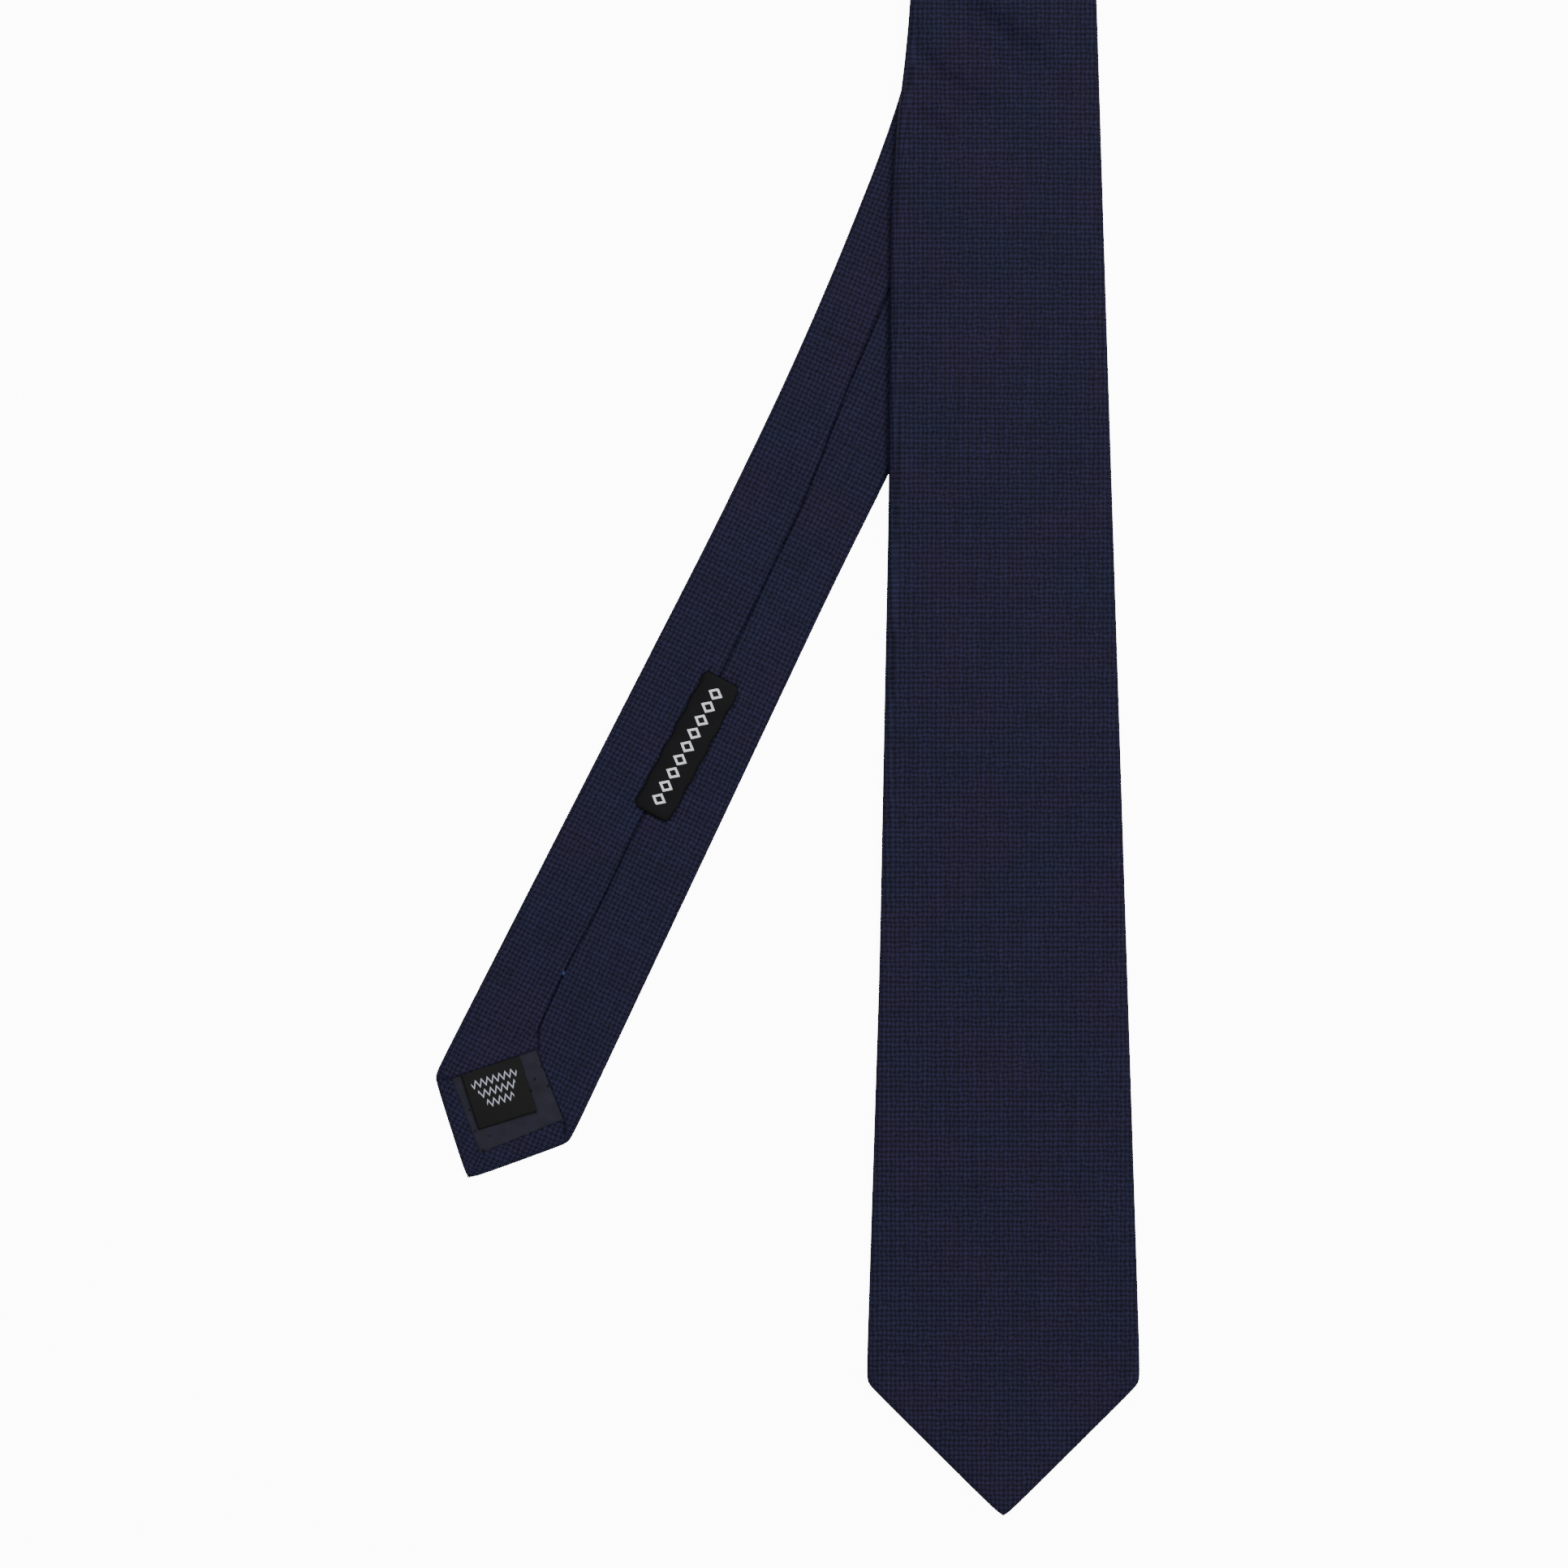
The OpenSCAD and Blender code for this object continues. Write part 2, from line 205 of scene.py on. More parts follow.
tieLength = tLower + sFold
foldStart, foldEnd = tFold - layout["pressed"], tLower + layout["pressed"]


def across(h):
    return np.stack([np.cos(h), -np.sin(h)], -1)


def ahead(h):
    return np.stack([np.sin(h), np.cos(h)], -1)


bendStart = bendEnd + layout["bendRadius"] * (across(bendLean) - across(0.0))
slowStart = bendStart + layout["slowRadius"] * (across(lean) - across(bendLean))


def heading(s):
    slow = lean - (s - sSlow) / layout["slowRadius"]
    bend = bendLean - (s - sBend) / layout["bendRadius"]
    return np.where(s < sSlow, lean, np.where(s < sBend, slow, np.where(s < sNeck, bend, 0.0)))


def onLeg(s, x):
    # point of the lower leg at s from the tail's point: two arcs between straight stretches
    h = heading(s)
    straight = slowStart - (sSlow - s)[..., None] * ahead(lean)
    slow = bendStart + layout["slowRadius"] * (across(h) - across(bendLean))
    bend = bendEnd + layout["bendRadius"] * (across(h) - across(0.0))
    neck = bendEnd + (s - sNeck)[..., None] * np.array([0.0, 1.0])
    middle = np.where((s < sSlow)[..., None], straight, np.where(
        (s < sBend)[..., None], slow, np.where((s < sNeck)[..., None], bend, neck)))
    return middle + x[..., None] * across(h)


# the tie's flat outline, by the distance t from the blade's point

outline = {
    "places": [36.0, 417, 620, 700, tieLength - 430, tieLength - 300, tieLength - 190,
               tieLength - 20.6],
    "halves": [37.8, 25.6, 18.0, 16.0, 16.0, 18.8, 18.2, 20.85],
    "bladePoint": 36.4, "tailPoint": 20.6, "pointRound": 1.2, "cornerRound": 1.1,
    "bulge": [[150, 278, 352, 378, 412, 440], [0, 1.6, 3.5, 3.0, 0.0, 0.0]],
}


def pointed(distance, height, half):
    # a point's straight slope, half / height, rounded at the tip
    distance = np.maximum(distance, 0)
    roundness = outline["pointRound"]
    return half / (height + roundness) * np.sqrt(distance * (distance + 2 * roundness))


def sideWidth(t):
    # half the width between the sides, as if there were no points
    return softInterp(t, outline["places"], outline["halves"], 12)


def halfWidth(t):
    # the smaller of the side and the two points' slopes, with the corners rounded
    side, halves = sideWidth(t), outline["halves"]
    for tip in (pointed(t, outline["bladePoint"], halves[0]),
                pointed(tieLength - t, outline["tailPoint"], halves[-1])):
        side = 0.5 * (side + tip - np.sqrt((side - tip) ** 2 + outline["cornerRound"] ** 2))
    return np.maximum(side, hair)


def leftExtra(t):
    # the blade's left side spreads where it climbs over the tail
    return softInterp(t, outline["bulge"][0], outline["bulge"][1], 14)


# back: the lapped seam and the windows at the points

back = {
    "tail": {"mitre": 7.2, "overHem": (22.3, 16.4), "underHem": (25.8, 16.6), "top": (39.9, 1.2),
             "seam": [[39.9, 44, 64, 84, 110, 155, 208, 241, 266, 330],
                      [1.2, -1.3, -1.8, -1.1, -1.4, 0.8, 0.2, -2.5, -3.0, 0.0]]},
    "blade": {"mitre": 9.5, "overHem": (38.5, 32.0), "underHem": (38.5, 32.0), "top": (73.0, 0.0),
              "seam": [[73, 120, 200, 320, 450, 600, 700], [0, -1.0, 0.8, -0.6, 0.7, -0.5, 0.0]]},
    "mitreGap": 0.16, "hemStep": 0.42, "hemBlur": 0.35, "corner": 0.97,
    "groove": 0.8, "seamGroove": 0.55, "grooveWidth": 0.42, "tuck": 0.25,
    "underLap": 6.0, "lapStart": 14.0, "seamJoin": 3.0, "lapLift": 0.4, "lapReach": 10.0,
    "turnRadius": 0.24, "turnBack": 2.0,
}


def seamLine(t):
    blade, tail = back["blade"]["seam"], back["tail"]["seam"]
    return softInterp(t, blade[0], blade[1], 9) + softInterp(tieLength - t, tail[0], tail[1], 3.5)


def innerEdge(t, side):
    # how far in the back reaches: mitre, hem, slanted flap end, then the seam
    seam = seamLine(t)
    lap = back["underLap"] if side > 0 else 0
    edge = seam - lap
    for end, distance in (("blade", t), ("tail", tieLength - t)):
        shape = back[end]
        hemS, hemX = shape["underHem" if side > 0 else "overHem"]
        topS, topX = shape["top"]
        near = np.interp(distance, [shape["mitre"], hemS, topS],
                         [side * back["mitreGap"], side * hemX, topX])
        past = distance - topS
        joined = np.clip(past / back["seamJoin"], 0, 1)
        lapped = np.clip(past / back["lapStart"], 0, 1)
        after = topX * (1 - joined) + seam * joined - lap * lapped
        edge = np.where(past < 0, near, np.where(past < back["lapStart"] + 2, after, edge))
    return edge


def outerCorner(end):
    # where a point meets the side: from the tip, and half across
    return outline[end + "Point"] * back["corner"], outline["halves"][0 if end == "blade" else -1]


def belowFlap(end, distance, x, side):
    # how far a point lies below the flap's slanted end, which runs from the window to the corner
    hemS, hemX = back[end]["overHem" if side < 0 else "underHem"]
    topS, topX = back[end]["top"]
    corner, half = outerCorner(end)
    return np.interp(side * x, [side * topX, hemX, half], [topS, hemS, corner]) - distance


def hemDepth(t, x, side):
    # 1 on the hem, 0 on the flap, and a little more in the groove between them
    depth = 0.0
    for end, distance in (("blade", t), ("tail", tieLength - t)):
        below = belowFlap(end, distance, x, side) / back["hemBlur"]
        hemX = back[end]["overHem" if side < 0 else "underHem"][1]
        groove = back["groove"] * np.exp(-((below - 1.0) / 1.1) ** 2)
        depth = depth + ease(0.5 + below / 2) + groove * (np.abs(x) > hemX - 0.8)
    return depth


def unrolled(t, x, side, rollWidth, arc=None):
    # the cloth's own coordinates past its edge, laid off square to the side, or on a hem square
    # to the point's edge: arc is the turn so far in radians, or None on the flat back
    slope, edge = 0.0, sideWidth(t)
    for end, distance, way in (("blade", t, 1), ("tail", tieLength - t, -1)):
        rise = outerCorner(end)[1] / (outline[end + "Point"] + outline["pointRound"])
        onHem = belowFlap(end, distance, x, side) > 0
        slope = np.where(onHem, way * rise, slope)
        edge = np.where(onHem, rise * (distance + outline["pointRound"]), edge)
    norm = np.sqrt(1 + slope ** 2)
    inward, roll = (edge - side * x) / norm, rollWidth / norm
    beyond = 2 * inward + (math.pi - 2) * roll if arc is None else inward + (arc - 1) * roll
    return x + side * beyond / norm, t - slope * beyond / norm


tube = {"turn": 5, "flap": 33, "roll": 9, "front": 40, "crown": 0.35, "cloth": 0.35,
        "calmHalf": 12, "calmRamp": 20, "mostRoll": 0.6, "mostFlap": 0.9}


def awayFromFold(t):
    # 0 where the tie is pressed flat round the fold, 1 further on
    return ease((np.abs(t - 0.5 * (tFold + tLower)) - tube["calmHalf"]) / tube["calmRamp"])


def section(t, kind, f):
    # cross-section of the tube at t: x across, z out of the front, v and own the cloth's own mm
    right = halfWidth(t)
    slopeR = np.sqrt(1 + ((halfWidth(t + 0.3) - halfWidth(t - 0.3)) / 0.6) ** 2)
    full = radius * slopeR
    left = right + leftExtra(t)
    fill = np.minimum(1, right / full)                # falls to 0 at the points
    height = radius * np.sqrt(1 - (1 - fill) ** 2)
    rollR, rollL = (np.minimum(full, tube["mostRoll"] * half) for half in (right, left))
    flatR, flatL = right - rollR, left - rollL
    overEdge = np.maximum(innerEdge(t, -1), -tube["mostFlap"] * flatL)
    underEdge = np.minimum(innerEdge(t, 1), tube["mostFlap"] * flatR)
    calm = awayFromFold(t)
    lift, step = calm * back["lapLift"] * fill, back["hemStep"] * fill

    def crown(x):
        return calm * tube["crown"] * fill * (1 - (x / np.maximum(left, 1)) ** 2)

    def overZ(x):
        lap = lift * ease(1 - (overEdge - x) / back["lapReach"])
        return -(height + 0.5 * crown(x) + lap) + step * hemDepth(t, x, -1)

    def underZ(x):
        lapped = (underEdge < overEdge) * fill
        tucked = back["tuck"] * ease((overEdge + 1.2 - x) / 2.4) * lapped
        pulled = back["seamGroove"] * np.exp(-((x - overEdge - 0.3) / back["grooveWidth"]) ** 2)
        pulled = calm * pulled * lapped
        return -(height + 0.5 * crown(x)) + tucked + pulled + step * hemDepth(t, x, 1)

    if kind == "front":
        x = flatR + (-flatL - flatR) * f
        z = height + crown(x)
        v, own = x, t * np.ones_like(x)
    elif kind in ("rollRight", "rollLeft"):
        side, flat, roll = (1, flatR, rollR) if kind == "rollRight" else (-1, flatL, rollL)
        arc = math.pi * (1 - f if side > 0 else f)
        x = side * (flat + roll * np.sin(arc))
        crowned = np.where(arc < math.pi / 2, crown(x), -0.5 * crown(x))
        z = height * np.cos(arc) + crowned * np.abs(np.cos(arc))
        v, own = unrolled(t, x, side, roll, arc)
    elif kind == "under":
        # columns crowd together where the other flap's edge lies over this one
        width = flatR - underEdge
        first = np.clip(overEdge - 0.5, underEdge + 0.1 * width, underEdge + 0.5 * width)
        second = np.clip(overEdge + 1.4, first + 0.08 * width, underEdge + 0.7 * width)
        x = np.where(f < 0.15, underEdge + (first - underEdge) * f / 0.15,
                     np.where(f < 0.5, first + (second - first) * (f - 0.15) / 0.35,
                              second + (flatR - second) * (f - 0.5) / 0.5))
        z = underZ(x)
        v, own = unrolled(t, x, 1, rollR)
    elif kind == "over":
        x = -flatL + (overEdge + flatL) * f
        z = overZ(x)
        v, own = unrolled(t, x, -1, rollL)
    else:
        side = 1 if kind == "turnUnder" else -1
        edge = underEdge if side > 0 else overEdge
        top = underZ(edge) if side > 0 else overZ(edge)
        turn = (1 - f) if side > 0 else f
        angle = np.minimum(turn / 0.8, 1) * math.pi
        bend = back["turnRadius"] * fill
        tail = back["turnBack"] * np.maximum(turn - 0.8, 0) / 0.2
        x = np.clip(edge + side * (tail - bend * np.sin(angle)), -flatL, flatR)
        z = top + bend * (1 - np.cos(angle))
        v, own = unrolled(t, edge, side, rollR)
        v = v + side * bend * angle
    return x, z, v, own


stretches = []                                       # the cross-section's kinds and their columns
for kind, count in (("turnUnder", "turn"), ("under", "flap"), ("rollRight", "roll"),
                    ("front", "front"), ("rollLeft", "roll"), ("over", "flap"), ("turnOver", "turn")):
    within = 1 if count in ("flap", "front") else 0
    shares = np.linspace(0, 1, tube[count] + 2 * within)
    stretches.append((kind, shares[None, within:len(shares) - within]))


def place(t, x, z):
    # from the tie's own coordinates to where it lies: blade leg, half ring, lower leg
    t, x, z = np.broadcast_arrays(t, x, z)
    bladePoint = np.stack([bladeX + x, tipY + t, drapeHeight(bladeX + x, tipY + t) + radius + z], -1)
    angle = (t - tFold) / ringRadius
    ringPoint = np.stack([bladeX + x, foldY + (ringRadius + z) * np.sin(angle),
                          foldZ + (ringRadius + z) * np.cos(angle)], -1)
    s = np.maximum(tieLength - t, 0)
    legPoint = np.concatenate([onLeg(s, x), (radius - z)[..., None]], -1)
    points = np.where((t < tFold)[..., None], bladePoint,
                      np.where((t < tLower)[..., None], ringPoint, legPoint))
    points[..., 2] = np.maximum(points[..., 2], hair)    # the table is at 0
    return points


# how the blade drapes over the lower leg

drape = {"step": 1.5, "reach": 46.0, "beyond": 6.0, "gap": 0.6, "rest": 0.7, "keeperHalf": 21,
         "spread": 4, "passes": 1200, "sag": 0.0022, "softening": 40, "level": 60}


def shifted(field):
    # the four neighbours of every point
    wide = np.pad(field, 1, mode="edge")
    return wide[:-2, 1:-1], wide[2:, 1:-1], wide[1:-1, :-2], wide[1:-1, 2:]


def drapeField():
    # a sheet that sinks a little each pass, is smoothed, and is held up by what lies under it
    xs = np.arange(bladeX - drape["reach"], bladeX + drape["reach"], drape["step"])
    ys = np.arange(tipY - drape["beyond"], foldY + drape["beyond"], drape["step"])
    gridX, gridY = np.meshgrid(xs, ys, indexing="ij")
    s = np.linspace(0, sFold, 2000)
    line = onLeg(s, np.zeros_like(s))
    at = np.interp(ys, line[:, 1], s)
    centre = np.interp(ys, line[:, 1], line[:, 0])
    off = (gridX - centre) * np.cos(heading(at))
    inside = halfWidth(tieLength - at) - np.abs(off)
    share = np.clip(inside / radius, 0, 1)
    held = np.where(inside > 0, radius * (1 + np.sqrt(1 - (1 - share) ** 2)) + drape["gap"], 0)
    held = np.maximum(held, drape["rest"])
    onKeeper = ((np.abs(gridX - bladeX) < drape["keeperHalf"])
                & (gridY > keeperLow[1]) & (gridY < keeperHigh[1]))
    held = np.maximum(held, np.where(onKeeper, keeperHigh[2], 0))
    top = 2 * radius + drape["gap"]
    # the left edge stays up beside the neck, where the tail passes under it when it swings
    leftBand = ease((gridY + drape["level"]) / drape["level"]) * (gridX < bladeX)
    held = np.maximum(held, leftBand * (top - 0.15))
    for _ in range(drape["spread"]):
        held = np.maximum.reduce([held, *shifted(held)])
    height = held.copy()
    for _ in range(drape["passes"]):
        height = np.maximum(held, sum(shifted(height)) / 4 - drape["sag"])
    for _ in range(drape["softening"]):
        height = sum(shifted(height)) / 4
    nearFold = ease((gridY - (foldY - drape["level"])) / 50)
    height = height * (1 - nearFold) + top * nearFold
    return xs, ys, height


drapeX, drapeY, drapeZ = drapeField()
print("drape:", round(float(drapeZ.min()), 2), "to", round(float(drapeZ.max()), 2), "mm")

creases = [                                          # points (across, t), depth, half width, in mm
    ([(-20, 424), (-11, 415), (-5.5, 410), (1, 405), (8.6, 399), (14, 393)], -2.6, 4.2),
    ([(-26, 405), (-22.5, 400), (-17, 394), (-9, 390), (-3, 387)], -1.9, 3.2),
    ([(-27, 388), (-20, 382), (-13, 376)], -1.1, 2.8),
]


def drapeHeight(x, y):
    # bilinear look-up in the drape, plus the soft creases pressed into the blade
    i = np.clip((x - drapeX[0]) / drape["step"], 0, len(drapeX) - 1.001)
    j = np.clip((y - drapeY[0]) / drape["step"], 0, len(drapeY) - 1.001)
    i0, j0 = i.astype(int), j.astype(int)
    a, b = i - i0, j - j0
    height = (drapeZ[i0, j0] * (1 - a) * (1 - b) + drapeZ[i0 + 1, j0] * a * (1 - b)
              + drapeZ[i0, j0 + 1] * (1 - a) * b + drapeZ[i0 + 1, j0 + 1] * a * b)
    u, t = x - bladeX, y - tipY
    for points, depth, width in creases:
        nearest = np.full(np.shape(u), 1e9)
        along = np.zeros(np.shape(u))
        last = len(points) - 1
        for k in range(last):
            (x0, t0), (x1, t1) = points[k], points[k + 1]
            dx, dt = x1 - x0, t1 - t0
            share = np.clip(((u - x0) * dx + (t - t0) * dt) / (dx * dx + dt * dt), 0, 1)
            away = np.hypot(u - x0 - share * dx, t - t0 - share * dt)
            along = np.where(away < nearest, (k + share) / last, along)
            nearest = np.minimum(nearest, away)
        strength = np.exp(-(nearest / width) ** 2) * np.sin(np.clip(along, 0.08, 0.92) * math.pi)
        height = height + depth * strength
    return height


# materials

def clothCoordinates(tree):
    # the cloth's own mm as a vector, and its two parts
    uv = addNode(tree, "UVMap", uv_map="cloth")
    parts = addNode(tree, "SeparateXYZ", (uv,)).node.outputs
    return uv, parts["X"], parts["Y"]


def wave(tree, source, pitch):
    # (1 + cos) / 2 of a coordinate in mm
    sockets = {"source": source}
    addSums(tree, sockets, [("turns", "MULTIPLY", "source", 2 * math.pi / pitch),
                            ("cosine", "COSINE", "turns"),
                            ("half", "MULTIPLY_ADD", "cosine", 0.5, 0.5)])
    return sockets["half"]


# Dyed silk, woven as a hopsack: paired yarns cross squarely and leave a small hole between them, so the eye
# sees a fine grid of dots on a soft, low sheen.
# The colour darkens the holes with painted shade and lightens the yarn crests with a painted highlight, on
# top of the relief.
silk = {
    "across": 1.24, "along": 1.37,                   # mm from hole to hole
    # the hole colour is painted shade in the gaps between the yarns, and the crest colour a painted
    # highlight on their tops
    "holeAndShade": "030205", "yarn": "171627", "crestAndHighlight": "242440", "violet": "1e1428", "teal": "101828",
    "tint": 0.2, "roughness": 0.7, "specular": 0.06, "relief": (0.55, 0.18),
    "noises": {"wobble": (0.35, 2.0), "uneven": (0.55, 2.0), "fine": (1.6, 3.0), "patch": (0.045, 2.0)},
    "slubs": {"streak": (0.8, 0.06, 1.0), "cross": (0.05, 0.75, 1.0)},
}
silkShift = [("drift", "MULTIPLY", "wobble", 1.2), ("across", "ADD", "u", "drift"),
             ("along", "ADD", "v", "drift")]
silkLevel = [
    ("gapAcross", "SUBTRACT", 1.0, "warp"), ("gapAlong", "SUBTRACT", 1.0, "weft"),
    ("gap", "MULTIPLY", "gapAcross", "gapAlong"), ("sharpGap", "POWER", "gap", 2.6),
    ("peak", "MULTIPLY", "warp", "weft"), ("softPeak", "POWER", "peak", 1.3),
    ("gapShare", "MULTIPLY", "uneven", 1.5), ("holeAndShade", "MULTIPLY", "sharpGap", "gapShare"),
    ("peakShare", "SUBTRACT", 1.35, "uneven"), ("crestAndHighlight", "MULTIPLY", "softPeak", "peakShare"),
    ("raised", "MULTIPLY_ADD", "crestAndHighlight", 0.6, 0.62), ("sunk", "MULTIPLY", "holeAndShade", 0.75),
    ("yarns", "SUBTRACT", "raised", "sunk"),
    # slubs: yarns that run a little thicker or lighter for a few millimetres
    ("slub", "ADD", "streak", "cross"), ("slubShare", "MULTIPLY_ADD", "slub", 0.45, 0.5),
    ("fineShare", "ADD", "fine", 0.35), ("fineYarns", "MULTIPLY", "yarns", "fineShare"),
    ("level", "MULTIPLY", "fineYarns", "slubShare"),
]


def silkMaterial():
    material, tree, shader = newMaterial("silkHopsackWoven", silk["roughness"], silk["specular"])
    uv, u, v = clothCoordinates(tree)
    sockets = {"u": u, "v": v}
    for name, (scale, detail) in silk["noises"].items():
        sockets[name] = addNode(tree, "TexNoise", {"Vector": uv, "Scale": scale, "Detail": detail})
    for name, scales in silk["slubs"].items():
        stretched = addNode(tree, "Mapping", {"Vector": uv, "Scale": scales})
        sockets[name] = addNode(tree, "TexNoise", {"Vector": stretched, "Scale": 1.0, "Detail": 2.0})
    addSums(tree, sockets, silkShift)
    sockets["warp"] = wave(tree, sockets["across"], silk["across"])
    sockets["weft"] = wave(tree, sockets["along"], silk["along"])
    addSums(tree, sockets, silkLevel)
    # painted shade in the holes and a painted highlight on the crests, from the same level that drives the
    # relief
    base = addNode(tree, "ValToRGB", (sockets["level"],),
                   [(0.12, silk["holeAndShade"]), (0.5, silk["yarn"]), (0.95, silk["crestAndHighlight"])])
    tint = addNode(tree, "ValToRGB", (sockets["patch"],), [(0.38, silk["violet"]), (0.62, silk["teal"])])
    colour = addNode(tree, "Mix", {"Factor": silk["tint"], "A": base, "B": tint}, data_type="RGBA")
    colourAndRelief(tree, shader, colour, sockets["level"], *silk["relief"])
    return material


# Acetate satin, piece-dyed: smooth and a little shiny, with small woven pin dots; the colour lightens along
# each thread as a painted sheen.
satin = {"base": "13131c", "light": "1b1b29", "dot": "020204", "dotPitch": 4.0, "dotHalf": 0.5,
         "stray": 0.22, "thread": 0.5, "roughness": 0.5, "specular": 0.1, "relief": (0.25, 0.08)}


def satinMaterial():
    material, tree, shader = newMaterial("acetateSatinPinDot", satin["roughness"], satin["specular"])
    uv, u, _ = clothCoordinates(tree)
    sockets = {
        "thread": wave(tree, u, satin["thread"]),
        "patch": addNode(tree, "TexNoise", {"Vector": uv, "Scale": 0.25, "Detail": 3.0}),
        "spot": addNode(tree, "TexVoronoi", {"Vector": uv, "Scale": 1 / satin["dotPitch"],
                                             "Randomness": satin["stray"]}),
    }
    # the thread wave lightens the colour towards the light stop as a painted sheen along each thread, and
    # also drives the relief
    addSums(tree, sockets, [("dot", "LESS_THAN", "spot", satin["dotHalf"] / satin["dotPitch"]),
                            ("level", "MULTIPLY_ADD", "thread", 0.25, "patch")])
    base = addNode(tree, "ValToRGB", (sockets["level"],), [(0.35, satin["base"]), (0.85, satin["light"])])
    colour = addNode(tree, "Mix", {"Factor": sockets["dot"], "A": base, "B": fromHex(satin["dot"])},
                     data_type="RGBA")
    colourAndRelief(tree, shader, colour, sockets["level"], *satin["relief"])
    return material


# Black polyester label satin, woven on a narrow loom: a close rib with a pale plain motif.
labels = {"ground": "060608", "rib": "0a0a0d", "mark": "d9d9de", "shade": "9b9ba4", "ribPitch": 0.42,
          "careGround": "0d0d0d", "careRib": "141414", "careMark": "9a9cae",
          "roughness": 0.6, "specular": 0.08, "relief": (0.25, 0.08)}

# a row of plain lozenges along the label: |across| / half + |along in its repeat| / half < 1
lozenge = {"pitch": 4.1, "halfAcross": 2.15, "halfAlong": 1.8, "open": 0.55, "reach": 18.0}
lozengeRow = [
    ("repeat", "PINGPONG", "v", lozenge["pitch"] / 2), ("side", "ABSOLUTE", "u"),
    ("sideShare", "DIVIDE", "side", lozenge["halfAcross"]),
    ("repeatShare", "DIVIDE", "repeat", lozenge["halfAlong"]),
    ("size", "ADD", "sideShare", "repeatShare"), ("within", "LESS_THAN", "size", 1.0),
    ("outside", "GREATER_THAN", "size", lozenge["open"]), ("ring", "MULTIPLY", "within", "outside"),
    ("far", "ABSOLUTE", "v"), ("ends", "LESS_THAN", "far", lozenge["reach"]),
    ("mask", "MULTIPLY", "ring", "ends"),
]

# three plain thin zigzag lines, centred on the label
zigzag = {"tooth": 0.85, "slope": 2.2, "half": 0.36, "lines": [(3.2, 6.5), (6.2, 5.3), (9.2, 3.9)]}
zigzagLines = [("mask", "MULTIPLY", "u", 0.0), ("side", "ABSOLUTE", "u"),
               ("tooth", "PINGPONG", "u", zigzag["tooth"]),
               ("swing", "MULTIPLY_ADD", "tooth", zigzag["slope"], "v")]
for down, halfLength in zigzag["lines"]:
    zigzagLines += [("offset", "ADD", "swing", down), ("away", "ABSOLUTE", "offset"),
                    ("row", "LESS_THAN", "away", zigzag["half"]), ("ends", "LESS_THAN", "side", halfLength),
                    ("mask", "MULTIPLY_ADD", "row", "ends", "mask")]


def labelMaterial(name, ground, rib, mark, motif):
    material, tree, shader = newMaterial(name, labels["roughness"], labels["specular"])
    uv, u, v = clothCoordinates(tree)
    sockets = {"u": u, "v": v, "ribs": wave(tree, v, labels["ribPitch"]),
               "grain": addNode(tree, "TexNoise", {"Vector": uv, "Scale": 2.2, "Detail": 3.0})}
    addSums(tree, sockets, [("both", "ADD", "ribs", "grain"), ("level", "MULTIPLY", "both", 0.5),
                            *motif, ("raised", "ADD", "level", "mask")])
    base = addNode(tree, "ValToRGB", (sockets["level"],), [(0.2, ground), (0.9, rib)])
    marks = addNode(tree, "ValToRGB", (sockets["level"],), [(0.15, labels["shade"]), (0.5, mark)])
    colour = addNode(tree, "Mix", {"Factor": sockets["mask"], "A": base, "B": marks}, data_type="RGBA")
    colourAndRelief(tree, shader, colour, sockets["raised"], *labels["relief"])
    return material


# Brushed wool interlining, carded and napped: a matt cream felt with short tangled hairs.
wool = {"shade": "c9c1ac", "light": "ebe5d6", "roughness": 0.95, "specular": 0.5, "relief": (0.6, 0.4)}


def woolMaterial():
    material, tree, shader = newMaterial("woolBrushedFelt", wool["roughness"], wool["specular"])
    uv, _, _ = clothCoordinates(tree)
    hairs = addNode(tree, "TexNoise", {"Vector": uv, "Scale": 1.4, "Detail": 6.0, "Roughness": 0.7})
    base = addNode(tree, "ValToRGB", (hairs,), [(0.3, wool["shade"]), (0.7, wool["light"])])
    colourAndRelief(tree, shader, base, hairs, *wool["relief"])
    return material


# Mercerised cotton thread, spun and dyed: a fine twist with a dull gleam.
cotton = {"twist": 0.45, "roughness": 0.7, "specular": 0.08, "relief": (0.4, 0.08)}


def threadMaterial(name, shade, light):
    material, tree, shader = newMaterial(name, cotton["roughness"], cotton["specular"])
    _, u, v = clothCoordinates(tree)
    twist = wave(tree, addNode(tree, "Math", (u, v), operation="ADD"), cotton["twist"])
    base = addNode(tree, "ValToRGB", (twist,), [(0.0, shade), (1.0, light)])
    colourAndRelief(tree, shader, base, twist, *cotton["relief"])
    return material


silkCloth, satinCloth, woolFelt = silkMaterial(), satinMaterial(), woolMaterial()
cottonThread = threadMaterial("cottonThreadTwisted", "06070d", "11131f")
tackThread = threadMaterial("cottonThreadPaleBlue", "1d2740", "33456c")
wovenCloth = labelMaterial("labelWovenTaffeta", labels["ground"], labels["rib"], labels["mark"],
                           lozengeRow)
careCloth = labelMaterial("labelPrintedSatin", labels["careGround"], labels["careRib"],
                          labels["careMark"], zigzagLines)
print("materials made")


# shells

seams = {"bladeNeck": 737.0, "neckTail": tieLength - sNeck, "slant": 0.45, "ramp": 30.0,
         "grooveHalf": 0.9, "grooveShare": 0.2}


def slanted(rows, columnsV):
    # rows lean over to meet the bias seams, and stand square again a little further on
    leaning = sum(ease(1 - np.abs(rows - seams[k]) / seams["ramp"]) for k in ("bladeNeck", "neckTail"))
    return rows[:, None] + seams["slant"] * leaning[:, None] * columnsV[None, :]


